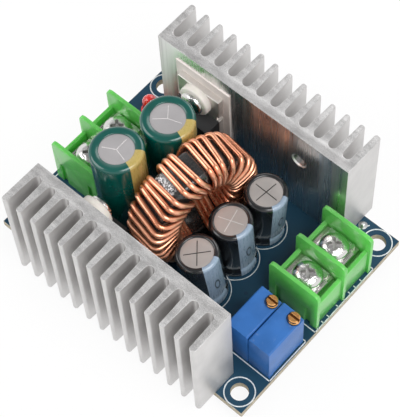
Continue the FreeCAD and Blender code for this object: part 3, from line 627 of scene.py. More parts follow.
@dataclass
class Piece:
    """One modelled piece, shaped with Blender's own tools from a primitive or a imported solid's copy."""

    obj: bpy.types.Object

    @staticmethod
    def clear() -> None:
        """Deselect everything, so that an operator meets only its own piece."""
        if bpy.context.mode != "OBJECT":
            bpy.ops.object.mode_set(mode="OBJECT")
        bpy.ops.object.select_all(action="DESELECT")

    @classmethod
    def _adopt(cls, name: str) -> "Piece":
        """Take the new primitive and settle its place into its mesh."""
        obj = bpy.context.active_object
        obj.name = name
        obj.data.name = name
        bpy.ops.object.transform_apply(location=True, rotation=True, scale=True)
        return cls(obj)

    @classmethod
    def block(cls, name: str, low: Vector, high: Vector) -> "Piece":
        """Cube primitive between two corners.

        Args:
            name: the object's name.
            low: lowest corner, in metres.
            high: highest corner, in metres.

        Returns:
            The new piece.
        """
        cls.clear()
        bpy.ops.mesh.primitive_cube_add(size=1.0, location=(low + high) / 2, scale=high - low)
        return cls._adopt(name)

    @classmethod
    def plate(cls, name: str, points: Sequence[Vector]) -> "Piece":
        """Flat face with the given outline, started from a plane whose corners are replaced.

        Args:
            name: the object's name.
            points: outline, in metres.

        Returns:
            The new piece.
        """
        cls.clear()
        bpy.ops.mesh.primitive_plane_add(size=0.001, location=(0, 0, 0))
        piece = cls._adopt(name)
        mesh = bmesh.new()
        mesh.faces.new([mesh.verts.new(point) for point in points])
        mesh.normal_update()
        mesh.to_mesh(piece.obj.data)
        mesh.free()
        return piece

    @classmethod
    def lathe(cls, name: str, profile: Sequence[tuple[float, float]], steps: int = 48) -> "Piece":
        """Turned shape about the upright axis through the origin.

        Args:
            name: the object's name.
            profile: (radius, height) pairs in millimetres, from axis to axis, or closed clear of it.
            steps: faces around it.

        Returns:
            The new piece, closed at its poles and seam.
        """
        cls.clear()
        bpy.ops.mesh.primitive_plane_add(size=0.001, location=(0, 0, 0))
        piece = cls._adopt(name)
        mesh = bmesh.new()
        ring = [mesh.verts.new((radius * MM, 0.0, height * MM)) for radius, height in profile]
        for first, second in zip(ring, ring[1:]):
            mesh.edges.new((first, second))
        if profile[0][0] > WELD_TURNED:
            mesh.edges.new((ring[-1], ring[0]))
        mesh.to_mesh(piece.obj.data)
        mesh.free()
        bpy.ops.object.mode_set(mode="EDIT")
        bpy.ops.mesh.select_all(action="SELECT")
        bpy.ops.mesh.spin(steps=steps, angle=math.tau, center=(0, 0, 0), axis=(0, 0, 1))
        bpy.ops.mesh.select_all(action="SELECT")
        bpy.ops.mesh.remove_doubles(threshold=WELD_TURNED)
        bpy.ops.mesh.normals_make_consistent(inside=False)
        bpy.ops.object.mode_set(mode="OBJECT")
        return piece

    @classmethod
    def from_node(cls, name: str, node: str) -> "Piece":
        """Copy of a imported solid, its triangles merged back into whole faces.

        Args:
            name: the object's name.
            node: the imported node.

        Returns:
            The new piece; the node itself is left as it is.
        """
        cls.clear()
        source = bpy.data.objects[node]
        copy = bpy.data.objects.new(name, source.data.copy())
        copy.data.name = name
        copy.data.materials.clear()
        bpy.context.scene.collection.objects.link(copy)
        copy.select_set(True)
        bpy.context.view_layer.objects.active = copy
        if copy.data.has_custom_normals:
            bpy.ops.mesh.customdata_custom_splitnormals_clear()
        piece = cls(copy)
        with piece.editing():
            bpy.ops.mesh.select_all(action="SELECT")
            bpy.ops.mesh.remove_doubles(threshold=WELD_COPY)
            bpy.ops.mesh.dissolve_limited(angle_limit=math.radians(1.0))
        return piece

    def editing(self) -> "EditSession":
        """Open edit mode for this piece only."""
        return EditSession(self.obj)

    def extrude(self, direction: Vector) -> "Piece":
        """Give a flat face thickness along a direction.

        Args:
            direction: the step, in metres.

        Returns:
            The piece, closed and facing outwards.
        """
        with self.editing():
            bpy.ops.mesh.select_all(action="SELECT")
            bpy.ops.mesh.extrude_region_move(TRANSFORM_OT_translate={"value": tuple(direction)})
            bpy.ops.mesh.select_all(action="SELECT")
            bpy.ops.mesh.normals_make_consistent(inside=False)
        return self

    def bevel(self, width_mm: float, segments: int = 2, angle: float = 30.0) -> "Piece":
        """Round the edges sharper than an angle.

        Args:
            width_mm: bevel width.
            segments: faces across it.
            angle: least edge angle, in degrees.

        Returns:
            The piece.
        """
        self.activate()
        made = self.obj.modifiers.new("edge", "BEVEL")
        made.width = width_mm * MM
        made.segments = segments
        made.limit_method = "ANGLE"
        made.angle_limit = math.radians(angle)
        made.profile = EDGE_ROUNDNESS
        made.use_clamp_overlap = True
        made.miter_outer = "MITER_ARC"
        bpy.ops.object.modifier_apply(modifier=made.name)
        return self

    def cut(self, other: "Piece") -> "Piece":
        """Take another piece's space out of this one; the cutter is used up.

        Args:
            other: the cutter.

        Returns:
            The piece.
        """
        self.activate()
        made = self.obj.modifiers.new("cut", "BOOLEAN")
        made.operation = "DIFFERENCE"
        made.object = other.obj
        made.solver = "EXACT"
        bpy.ops.object.modifier_apply(modifier=made.name)
        other.discard()
        return self

    def smooth(self, angle: float) -> "Piece":
        """Shade smooth, but keep edges sharper than an angle."""
        self.activate()
        bpy.ops.object.shade_smooth_by_angle(angle=math.radians(angle))
        return self

    def activate(self) -> None:
        """Make this the one selected object."""
        self.clear()
        self.obj.select_set(True)
        bpy.context.view_layer.objects.active = self.obj

    def discard(self) -> None:
        """Remove the object and its mesh."""
        mesh = self.obj.data
        bpy.data.objects.remove(self.obj)
        bpy.data.meshes.remove(mesh)

    def copy(self, name: str, place: Matrix) -> "Piece":
        """Second piece with its own mesh, placed in the mesh.

        Args:
            name: the object's name.
            place: transform of the mesh.

        Returns:
            The new piece.
        """
        data = self.obj.data.copy()
        data.name = name
        data.transform(place)
        if place.determinant() < 0:
            data.flip_normals()
        made = bpy.data.objects.new(name, data)
        bpy.context.scene.collection.objects.link(made)
        return Piece(made)

    def moved(self, place: Matrix) -> "Piece":
        """Transform the mesh itself."""
        self.obj.data.transform(place)
        if place.determinant() < 0:
            self.obj.data.flip_normals()
        return self

    @classmethod
    def joined(cls, name: str, pieces: Sequence["Piece"]) -> "Piece":
        """Take all the pieces into the first one's mesh.

        Args:
            name: the joined object's name.
            pieces: all the pieces; all but the first are used up.

        Returns:
            The first piece.
        """
        first = pieces[0]
        first.activate()
        for other in pieces[1:]:
            other.obj.select_set(True)
        bpy.ops.object.join()
        first.obj.name = name
        return first

    def dress(self, finish: Palette | Finish,
              extra: Sequence[tuple[Palette | Finish, Callable]] = ()) -> "Piece":
        """Give the piece its finish, and further finishes to faces that pass a test.

        Args:
            finish: the main finish.
            extra: pairs of a finish and a test on a face's middle and direction.

        Returns:
            The piece.
        """
        slots = self.obj.data.materials
        slots.clear()
        slots.append(finish_of(finish))
        for face in self.obj.data.polygons:
            face.material_index = 0
        for number, (other, test) in enumerate(extra, 1):
            slots.append(finish_of(other))
            for face in self.obj.data.polygons:
                if test(face.center, face.normal):
                    face.material_index = number
        return self

    def place(self, body: str, slot: str, *nodes: str) -> "Piece":
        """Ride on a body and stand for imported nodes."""
        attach(self.obj, body)
        if nodes:
            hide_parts(*nodes)
        LOG.info("%s: %d faces, rides on %s", self.obj.name, len(self.obj.data.polygons), body)
        return self


@dataclass
class EditSession:
    """Edit mode for one object, closed again on leaving."""

    obj: bpy.types.Object

    def __enter__(self) -> None:
        """Open edit mode."""
        Piece.clear()
        self.obj.select_set(True)
        bpy.context.view_layer.objects.active = self.obj
        bpy.ops.object.mode_set(mode="EDIT")

    def __exit__(self, *problem: Any) -> None:
        """Close edit mode."""
        bpy.ops.object.mode_set(mode="OBJECT")


def finish_of(finish: Palette | Finish) -> bpy.types.Material:
    """Material of a palette entry or of a finish made for one piece."""
    return (finish.value if isinstance(finish, Palette) else finish).build()


def dress_node(name: str, finish: Palette | Finish) -> None:
    """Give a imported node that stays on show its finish."""
    node = bpy.data.objects[name]
    node.data.materials.clear()
    node.data.materials.append(finish_of(finish))


def round_off(node: str, name: str, finish: Palette, slot: str, edge: tuple[float, int, float],
              extra: Sequence[tuple[Palette, Callable]] = ()) -> None:
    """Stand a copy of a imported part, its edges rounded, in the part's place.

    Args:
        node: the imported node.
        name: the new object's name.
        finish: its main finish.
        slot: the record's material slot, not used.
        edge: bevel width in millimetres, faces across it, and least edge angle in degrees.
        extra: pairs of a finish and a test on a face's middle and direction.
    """
    made = Piece.from_node(name, node)
    made.bevel(*edge).smooth(32).dress(finish, extra).place(ROOT, slot, node)


# Parts of the module


@dataclass
class Heatsinks:
    """Two lengths of one finned section, sawn to height and stood along the board's long edges."""

    length: float = 45.0
    height: float = 25.4
    depth: float = 9.4
    base: float = 2.0
    fins: int = 14
    root: float = 1.5
    tip: float = 1.1
    hole_height: float = TAPPED_HEIGHT
    hole_spread: float = 23.0
    # Tapped hole as (radius, depth) pairs, from outside its chamfer down the thread to its floor.
    hole: tuple[tuple[float, float], ...] = (
        (0, -0.6), (1.78, -0.6), (1.72, 0.0), (1.42, 0.24), (1.25, 0.4), (1.42, 0.58), (1.25, 0.76),
        (1.42, 0.94), (1.25, 1.12), (1.42, 1.3), (1.25, 1.48), (1.3, 1.9), (0, 1.9))
    # Radius and depths within which a face belongs to the thread or the floor, where shade is painted.
    bored_reach: float = 1.46
    bored_depths: tuple[float, float] = (0.26, 1.95)
    # Corners of the mounting faces on the board: the rear one's left end, the front one's left end.
    rear: tuple[float, float] = (6.67, REAR_FACE)
    front: tuple[float, float] = (8.83, FRONT_FACE)

    def outline(self) -> list[Vector]:
        """Comb outline with round fin tips and round roots, in metres."""
        pitch = (self.length - self.root) / (self.fins - 1)
        gap = (pitch - self.root) / 2
        points = [(0.0, 0.0), (self.length, 0.0)]
        for index in reversed(range(self.fins)):
            centre = self.root / 2 + index * pitch
            right = self.length if index == self.fins - 1 else centre + self.tip / 2
            left = 0.0 if index == 0 else centre - self.tip / 2
            half = (right - left) / 2
            rise = half * 0.8
            points += [(left + half + half * math.cos(turn), self.depth - rise + rise * math.sin(turn))
                       for turn in arc(8, math.pi)]
            if index:
                middle = centre - self.root / 2 - gap
                points += [(middle + gap * math.cos(turn), self.base + gap + gap * math.sin(turn))
                           for turn in arc(8, -math.pi)]
        return [Vector((x, y, 0)) * MM for x, y in points]

    def holes(self) -> list[float]:
        """Places of the two tapped holes along the section."""
        return [(self.length + side * self.hole_spread) / 2 for side in (-1, 1)]

    def section(self) -> Piece:
        """One length with broken edges and two tapped holes."""
        body = Piece.plate("heatsink", self.outline()).extrude(Vector((0, 0, self.height * MM)))
        body.bevel(0.14, 2, 40)
        for along in self.holes():
            drill = Piece.lathe("drill", self.hole, 40)
            drill.moved(Matrix.Translation(Vector((along, 0, self.hole_height)) * MM)
                        @ Matrix.Rotation(math.radians(-90), 4, "X"))
            body.cut(drill)
        return body.smooth(32)

    def bored(self, unplace: Matrix) -> Callable[[Vector, Vector], bool]:
        """Test for the walls and floor of the threaded holes, which take a painted shade.

        Args:
            unplace: takes a placed point back to the section's own axes.

        Returns:
            A test on a face's middle and direction.
        """
        low, high = self.bored_depths

        def test(centre: Vector, facing: Vector) -> bool:
            """True inside a hole."""
            x, y, z = unplace @ centre / MM
            across = min(math.hypot(x - along, z - self.hole_height) for along in self.holes())
            return across < self.bored_reach and low < y < high

        return test

    def build(self) -> None:
        """Model the section once and stand it at both places."""
        body = self.section()
        rear_place = Matrix.Translation(spot(*self.rear, 0))
        front_corner = spot(self.front[0] + self.length, self.front[1], 0)
        front_place = Matrix.Translation(front_corner) @ Matrix.Rotation(math.pi, 4, "Z")
        for name, place, finish in (("rear", rear_place, Palette.REAR_SINK),
                                    ("front", front_place, Palette.FRONT_SINK)):
            made = body.copy(f"{name}_heatsink_fins", place)
            made.dress(finish, [(Palette.BORED, self.bored(place.inverted()))])
            made.place(ROOT, "extruded_aluminium", f"heatsink_{name}")
        body.discard()
        dress_node("heatsink_pins", Palette.TIN)


@dataclass
class Board:
    """Printed board with corner holes, ink legend, and solder on both faces."""

    size: tuple[float, float, float] = (60.0, 45.5, BOARD_THICKNESS)
    hole_radius: float = 1.7
    hole_inset: float = 3.0
    ink_height: float = 0.03
    ring_radius: float = 2.83
    # Ink round the capacitors' feet: middle and radius.
    foot_rings: tuple[tuple[float, float, float], ...] = (
        (38.63, 31.02, 4.55), (38.88, 22.74, 4.55), (39.14, 14.35, 4.55), (18.0, 15.9, 5.5),
        (19.56, 27.1, 5.5))
    # Ink round the trimmers, the output block and the input block: low and high corner.
    outlines: tuple[tuple[float, float, float, float], ...] = (
        (49.2, 8.0, 59.75, 18.25), (48.0, 20.75, 59.9, 37.7), (0.8, 13.4, 12.8, 30.4))
    # Short ticks along the output edge: where they start and end along X, and their places along Y.
    tick_ends: tuple[float, float] = (59.35, 59.85)
    ticks: tuple[float, ...] = (21.6, 23.2, 24.8, 27.5, 29.3, 31.0, 32.6, 34.35)
    # Single strokes beside the rear corner hole and the trimmers: start and end.
    strokes: tuple[tuple[float, float, float, float], ...] = (
        (52.3, 42.2, 53.6, 44.4), (51.8, 41.6, 53.0, 41.6), (48.9, 9.3, 50.6, 6.9))
    # A tail under the board is one cluster of points this near the bottom and to each other, in metres.
    tail_depth: float = 0.00005
    tail_spread: float = 0.0019
    # Solder stands out from its tail by this much, and down by this much, and both vary a little.
    fillet: tuple[float, float] = (0.62, 0.95)
    fillet_spread: tuple[float, float] = (0.12, 0.25)
    # Lone bead of solder on top, beside the rear corner hole.
    bead_place: tuple[float, float] = (52.62, 43.7)
    bead: tuple[tuple[float, float], ...] = (
        (0, 0.72), (0.3, 0.66), (0.52, 0.42), (0.66, 0.2), (0.86, 0.04), (0.9, 0.0), (0, 0.0))

    def corners(self) -> list[tuple[float, float]]:
        """Places of the four mounting holes."""
        inset = self.hole_inset
        return [(x, y) for x in (inset, self.size[0] - inset) for y in (inset, self.size[1] - inset)]

    def slab(self) -> None:
        """Board with its holes."""
        width, depth, thickness = self.size
        slab = Piece.block("printed_board", spot(0, 0, -thickness), spot(width, depth, 0))
        slab.bevel(0.1, 1)
        for x, y in self.corners():
            profile = [(0, -2.4), (self.hole_radius, -2.4), (self.hole_radius, 0.8), (0, 0.8)]
            slab.cut(Piece.lathe("drill", profile, 56).moved(Matrix.Translation(spot(x, y, 0))))
        slab.smooth(40).dress(Palette.MASK).place(ROOT, "solder_mask", "circuit_board")

    def ring(self, x: float, y: float, radius: float, width: float = 0.24) -> Piece:
        """Inked circle with a soft edge."""
        low, high = radius - width / 2, radius + width / 2
        top = self.ink_height
        profile = [(low, 0.0), (high, 0.0), (high - 0.03, top), (low + 0.03, top)]
        return Piece.lathe("ink", profile, 64).moved(Matrix.Translation(spot(x, y, 0)))

    def line(self, start: tuple[float, float], end: tuple[float, float], width: float = 0.2) -> Piece:
        """Inked straight line with round ends."""
        first, second = Vector((*start, 0)), Vector((*end, 0))
        along = (second - first).normalized()
        across = Vector((-along.y, along.x, 0)) * width / 2
        outline = []
        for centre, sign in ((second, 1), (first, -1)):
            for swing in arc(6, math.pi):
                turn = swing - math.pi / 2
                offset = along * math.cos(turn) * sign * width / 2 + across * math.sin(turn) * sign
                outline.append(spot(*(centre + offset).xy, 0))
        return Piece.plate("ink", outline).extrude(Vector((0, 0, self.ink_height * MM)))

    def legend(self) -> None:
        """All the ink that shows: hole rings, part outlines and edge ticks, with no lettering."""
        inks = [self.ring(x, y, self.ring_radius) for x, y in self.corners()]
        inks += [self.ring(x, y, radius, 0.18) for x, y, radius in self.foot_rings]
        for left, front, right, rear in self.outlines:
            frame = ((left, front), (right, front), (right, rear), (left, rear), (left, front))
            inks += [self.line(start, end) for start, end in zip(frame, frame[1:])]
        inks += [self.line((self.tick_ends[0], y), (self.tick_ends[1], y), 0.22) for y in self.ticks]
        inks += [self.line(stroke[:2], stroke[2:]) for stroke in self.strokes]
        Piece.joined("board_legend", inks).dress(Palette.INK).place(ROOT, "solder_mask")

    def tails(self) -> list[tuple[Vector, float]]:
        """Middle and reach of every pin and lead that comes out under the board, in metres."""
        nodes = [name for name in sorted(bpy.data.objects.keys())
                 if "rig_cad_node" in bpy.data.objects[name]
                 and name.endswith(("_pins", "_leads", "_contacts", "_frame", "_wire_ends"))
                 and name != "amplifier_leads"]
        places = []
        for name in nodes:
            points = bpy.data.objects[name].data.vertices
            tails = [point.co.copy() for point in points if point.co.z < self.tail_depth]
            while tails:
                near = [p for p in tails if (p - tails[0]).length < self.tail_spread]
                tails = [p for p in tails if (p - near[0]).length >= self.tail_spread]
                centre = sum(near, Vector()) / len(near)
                places.append((centre, max((p - centre).length for p in near)))
        return places

    def solder(self) -> None:
        """A fillet of solder round every tail under the board, and one bead on top."""
        chance = random.Random(11)
        joints = []
        for centre, reach in self.tails():
            wide = reach / MM + self.fillet[0] + chance.random() * self.fillet_spread[0]
            tall = self.fillet[1] + chance.random() * self.fillet_spread[1]
            neck = reach / MM + 0.05
            profile = [(0, 0.0), (wide + 0.12, 0.0), (wide, -0.06)]
            for step in range(1, 6):
                share = step / 5
                profile.append((neck + (wide - neck) * (1 - share) ** 2.1, -0.06 - share * tall))
            profile.append((0, -0.1 - tall))
            place = Vector((centre.x, centre.y, (BOARD_TOP - BOARD_THICKNESS) * MM))
            joints.append(Piece.lathe("joint", profile, 20).moved(Matrix.Translation(place)))
        bead = Piece.lathe("joint", self.bead, 20)
        joints.append(bead.moved(Matrix.Translation(spot(*self.bead_place, 0))))
        solder = Piece.joined("solder_joints", joints)
        solder.smooth(50).dress(Palette.TIN).place(ROOT, "solder_tin")

    def build(self) -> None:
        """Board, ink and solder."""
        self.slab()
        self.legend()
        self.solder()


@dataclass
class PanScrew:
    """Pan-head screw with a cross recess and one longer slot, its bearing face at the origin."""

    head_radius: float = 2.85
    head_height: float = 2.2
    length: float = 6.0
    shank: float = 1.45
    pitch: float = 0.5
    slot_length: float = 3.0
    slot_width: float = 0.7
    depth: float = 1.1
    # The head stands this much off its washer, so that the two faces don't share a plane.
    lift: float = 0.02
    # The thread's roots and crests lie this much inside the shank's radius.
    root: float = 0.22
    crest: float = 0.03

    def model(self, name: str) -> Piece:
        """Turn the screw, thread and all, and sink its recess.

        Args:
            name: the object's name.

        Returns:
            The screw at the origin.
        """
        profile = [(0, -self.length), (self.shank - 0.35, -self.length)]
        turns = int((self.length - 0.4) / self.pitch)
        for turn in range(turns):
            low = -self.length + 0.1 + turn * self.pitch
            profile += [(self.shank - self.root, low), (self.shank - self.crest, low + self.pitch * 0.5)]
        profile += [(self.shank - 0.2, -0.25), (self.shank - 0.1, self.lift),
                    (self.head_radius - 0.12, self.lift), (self.head_radius, 0.12)]
        for turn in arc(8):
            profile.append((self.head_radius * math.cos(turn) ** 0.75,
                            self.head_height * (0.34 + 0.65 * math.sin(turn) ** 1.15)))
        profile[-1] = (0.0, self.head_height * 0.99)
        body = Piece.lathe(name, profile, 48)
        for span, turn in ((self.slot_length, 45), (self.head_radius * 1.1, 135)):
            body.cut(self.recess(span).moved(Matrix.Rotation(math.radians(turn), 4, "Z")))
        body.bevel(0.05, 1, 55).smooth(38)

        def sunk(centre: Vector, facing: Vector) -> bool:
            """Walls and floor of the recess, which take a painted shade."""
            across = math.hypot(centre.x, centre.y) / MM
            walls = abs(facing.z) < 0.6 and centre.z > (self.head_height - self.depth * 0.9) * MM
            floor = abs(centre.z / MM - self.head_height + self.depth) < 0.12
            return across < self.slot_length * 0.62 and (walls or floor)

        return body.dress(Palette.NICKEL, [(Palette.RECESS, sunk)])

    def recess(self, span: float) -> Piece:
        """Tapered wing of the cross recess."""
        top, low = self.head_height + 0.3, self.head_height - self.depth
        corner = Vector((span / 2, self.slot_width / 2, 0))
        wing = Piece.block("wing", Vector((-corner.x, -corner.y, low)) * MM,
                           Vector((corner.x, corner.y, top)) * MM)
        for vert in wing.obj.data.vertices:
            if vert.co.z < (low + 0.1) * MM:
                vert.co.x *= 0.62
                vert.co.y *= 0.8
        return wing


class Side(Enum):
    """The two ends of the board."""

    INPUT = "input"
    OUTPUT = "output"


@dataclass
class TerminalBlock:
    """Two-pole barrier block: green housing, tinned contacts, clamp washers and screws that turn."""

    side: Side
    inner_end: tuple[float, float]
    turned: bool
    pitch: float = 7.5
    screw_inset: float = 5.65
    washer_top: float = 8.0
    # The washer's outer end: its width, and how far from the screw it narrows and its grooves start.
    tongue: float = 3.2
    narrow_at: float = 2.62
    grooves_at: float = 2.0
    groove_count: int = 4
    groove_pitch: float = 0.4
    groove_width: float = 0.19
    groove_depth: float = 0.32

    def frame(self) -> Matrix:
        """Place of the block's own axes."""
        turn = Matrix.Rotation(math.pi if self.turned else 0.0, 4, "Z")
        return Matrix.Translation(spot(*self.inner_end, 0)) @ turn

    def poles(self) -> list[tuple[str, float]]:
        """Letter and sideways place of each pole."""
        return [("a", -self.pitch / 2), ("b", self.pitch / 2)]

    def housing(self) -> None:
        """Moulding with rounded edges, and the metal plates in it."""
        name = f"{self.side.value}_terminal"
        round_off(f"{name}_housing", f"{name}_moulding", Palette.GREEN, "green_moulding", (0.16, 2, 35))
        round_off(f"{name}_contacts", f"{name}_plates", Palette.CONTACT, "tinned_brass", (0.06, 1, 40))

    def washer(self, letter: str, centre: float) -> None:
        """Square clamp with grooves pressed across its outer end."""
        name = self.side.value
        node = f"{name}_clamp_washer_{letter}"
        plate = Piece.from_node(f"{name}_washer_plate_{letter}", node).bevel(0.09, 2, 30)
        half = self.tongue / 2
        top = self.washer_top
        narrow = self.screw_inset + self.narrow_at
        cutters = [((narrow, low, top - 1.5), (self.screw_inset + 4.5, high, top + 0.5))
                   for low, high in ((centre - 4.0, centre - half), (centre + half, centre + 4.0))]
        for step in range(self.groove_count):
            x = self.screw_inset + self.grooves_at + step * self.groove_pitch
            cutters.append(((x, centre - half - 0.4, top - self.groove_depth),
                            (x + self.groove_width, centre + half + 0.4, top + 0.4)))
        for low, high in cutters:
            plate.cut(Piece.block("cutter", Vector(low) * MM, Vector(high) * MM).moved(self.frame()))
        unplace = self.frame().inverted()

        def grooved(middle: Vector, facing: Vector) -> bool:
            """Walls and floors of the grooves, which take a painted shade."""
            x, y, z = unplace @ middle / MM
            inside = x > self.screw_inset + self.grooves_at - 0.05 and abs(y - centre) < half + 0.2
            return inside and top - self.groove_depth - 0.03 < z < top - 0.05

        plate.smooth(32).dress(Palette.NICKEL, [(Palette.RECESS, grooved)])
        plate.place(f"{name}_washer_{letter}", "bright_nickel", node)

    def build(self, screw: Piece) -> None:
        """Build the block.

        Args:
            screw: a finished screw at the origin, copied for each pole.
        """
        self.housing()
        name = self.side.value
        for letter, centre in self.poles():
            self.washer(letter, centre)
            seat = Vector((self.screw_inset, centre, self.washer_top)) * MM
            fitted = screw.copy(f"{name}_screw_{letter}", self.frame() @ Matrix.Translation(seat))
            fitted.place(f"{name}_screw_{letter}", "bright_nickel", f"{name}_terminal_screw_{letter}")


@dataclass
class Trimmer:
    """Multi-turn trimmer: blue case on feet, brass adjusting screw in its corner."""

    label: str
    # The case's near corner on the board, and its size.
    corner: tuple[float, float]
    size: tuple[float, float, float] = (TRIMMER_WIDTH, 9.53, 10.0)
    standoff: float = 0.35
    screw_inset: float = 1.27
    pocket_depth: float = 0.65
    clearance: float = 0.06
    # Radius and length of the screw's head and stem; width and depth of its slot.
    head: tuple[float, float] = (1.1, 1.5)
    stem: tuple[float, float] = (0.8, 3.0)
    slot: tuple[float, float] = (0.45, 0.5)

    def case(self) -> None:
        """Moulded case with rounded edges."""
        name = f"{self.label}_trimmer"
        round_off(f"{name}_body", f"{name}_case", Palette.BLUE, "blue_case", (0.13, 2, 35))
        dress_node(f"{name}_pins", Palette.TIN)

    def screw(self) -> None:
        """Brass head with a groove round it and one slot, on a plain stem."""
        top = self.standoff + self.size[2]
        floor = top - self.pocket_depth
        low = floor + self.clearance
        radius, height = self.head
        stem_radius, stem_length = self.stem
        crown = low + height
        foot = floor - stem_length
        profile = [(0, foot), (stem_radius - 0.05, foot), (stem_radius, foot + 0.1), (stem_radius, low),
                   (radius - 0.08, low), (radius, low + 0.1), (radius, low + 0.45),
                   (radius - 0.1, low + 0.55), (radius - 0.1, low + 0.72), (radius, low + 0.82),
                   (radius, crown - 0.14), (radius - 0.14, crown), (0, crown)]
        body = Piece.lathe(f"{self.label}_adjuster", profile, 40)
        width, depth = self.slot
        slot = Piece.block("slot", Vector((-2, -width / 2, crown - depth)) * MM,
                           Vector((2, width / 2, crown + 1)) * MM)
        body.cut(slot).bevel(0.04, 1, 55)
        x = self.corner[0] + self.size[0] - self.screw_inset
        y = self.corner[1] + self.size[1] - self.screw_inset

        def slotted(centre: Vector, facing: Vector) -> bool:
            """Floor and walls of the slot, which take a painted shade."""
            level = (crown - depth * 1.1) * MM < centre.z < (crown - 0.05) * MM
            return abs(centre.y) < width * 0.55 * MM and level

        body.smooth(38).dress(Palette.BRASS, [(Palette.SLOT, slotted)])
        body.moved(Matrix.Translation(spot(x, y, 0)))
        body.place(f"{self.label}_adjuster", "adjuster_brass", f"{self.label}_trimmer_screw")

    def build(self) -> None:
        """Case and screw."""
        self.case()
        self.screw()


@dataclass
class Capacitor:
    """Electrolytic capacitor in a shrunk sleeve, with a scored vent in its can."""

    name: str
    base: tuple[float, float]
    # Lean along X and Y, in radians.
    lean: tuple[float, float]
    radius: float
    height: float
    finish: SleeveFilm
    slot: str
    # Directions of the scored lines, in degrees, the light painted in them (a highlight on some cans, a shade
    # on others), and the disc's colour.
    arms: tuple[float, ...]
    arm_tint: Colour
    disc_tint: Colour
    # How thick the sleeve is, how far it folds in over the rim, and how round its shoulder is.
    sleeve: float = 0.2
    lip: float = 1.6
    edge: float = 0.8
    seat: float = 0.02
    # Rolled groove: its height, half width and depth.
    groove_height: float = 2.6
    groove_half: float = 0.85
    groove_depth: float = 0.34
    score_width: float = 0.18

    def frame(self) -> Matrix:
        """Place and lean of the capacitor's own axis."""
        lift = (self.radius + self.sleeve) * math.hypot(*self.lean) + self.seat
        tip = Matrix.Rotation(-self.lean[1], 4, "X") @ Matrix.Rotation(self.lean[0], 4, "Y")
        return Matrix.Translation(spot(*self.base, lift)) @ tip

    def film(self) -> None:
        """Sleeve that follows the can's rolled groove and folds in over its rim."""
        outer = self.radius + self.sleeve
        top = self.height + self.sleeve
        groove_low = self.groove_height - self.groove_half
        profile = [(self.radius - 0.25, 0.0), (outer - 0.25, 0.0), (outer - 0.06, 0.10), (outer, 0.35),
                   (outer, groove_low)]
        for step in range(1, 8):
            share = step / 8
            dip = math.sin(math.pi * share) ** 1.5 * self.groove_depth
            profile.append((outer - dip, groove_low + 2 * self.groove_half * share))
        profile += [(outer, self.groove_height + self.groove_half), (outer, top - self.edge)]
        profile += [(outer - self.edge * (1 - math.cos(turn)), top - self.edge * (1 - math.sin(turn)))
                    for turn in arc(9)[1:]]
        inner = self.radius - self.lip
        profile += [(inner + 0.1, top - 0.05), (inner, top - 0.16), (inner, self.height - 0.05),
                    (self.radius - 0.9, self.height - 0.2), (self.radius - 0.45, self.height - 0.9),
                    (self.radius - 0.45, 0.6)]
        body = Piece.lathe(f"{self.name}_film", profile, 72).moved(self.frame())
        body.smooth(50).dress(self.finish).place(ROOT, self.slot, f"{self.name}_sleeve")

    def can(self) -> None:
        """Can whose top is pressed flat inside the fold and scored so that it can vent."""
        wide = self.radius - self.lip + 0.3
        top = self.height
        profile = [(0, 0.25), (self.radius - 0.5, 0.25), (self.radius - 0.5, top - 0.9),
                   (self.radius - 0.9, top - 0.35), (wide, top - 0.1), (wide - 0.5, top - 0.04),
                   (wide - 0.9, top - 0.1), (0, top - 0.08)]
        body = Piece.lathe(f"{self.name}_top", profile, 56)
        half = self.score_width / 2
        for arm in self.arms:
            score = Piece.block("score", Vector((0, -half, top - 0.22)) * MM,
                                Vector((wide - 0.85, half, top + 1)) * MM)
            body.cut(score.moved(Matrix.Rotation(math.radians(arm), 4, "Z")))
        low = top - 0.14

        def scored(centre: Vector, facing: Vector) -> bool:
            """Floor and walls of the score, which take the painted light."""
            inside = math.hypot(centre.x, centre.y) < (wide - 0.8) * MM
            return inside and (centre.z < low * MM or abs(facing.z) < 0.5) and centre.z > (top - 0.4) * MM

        # The scores' floors and walls are painted a highlight colour or a shade colour, as given for each
        # can.
        disc, score_light = self.metal("can", self.disc_tint), self.metal("score", self.arm_tint)
        body.smooth(30).dress(disc, [(score_light, scored)]).moved(self.frame())
        body.place(ROOT, "can_aluminium", f"{self.name}_can")
        dress_node(f"{self.name}_leads", Palette.TIN)

    @staticmethod
    def metal(label: str, tint: Colour) -> DrawnCan:
        """Can finish of one colour, shared by the cans that have it."""
        return DrawnCan("_".join([label, *(str(int(part * 100)) for part in tint)]), tint)

    def build(self) -> None:
        """Sleeve and can."""
        self.film()
        self.can()


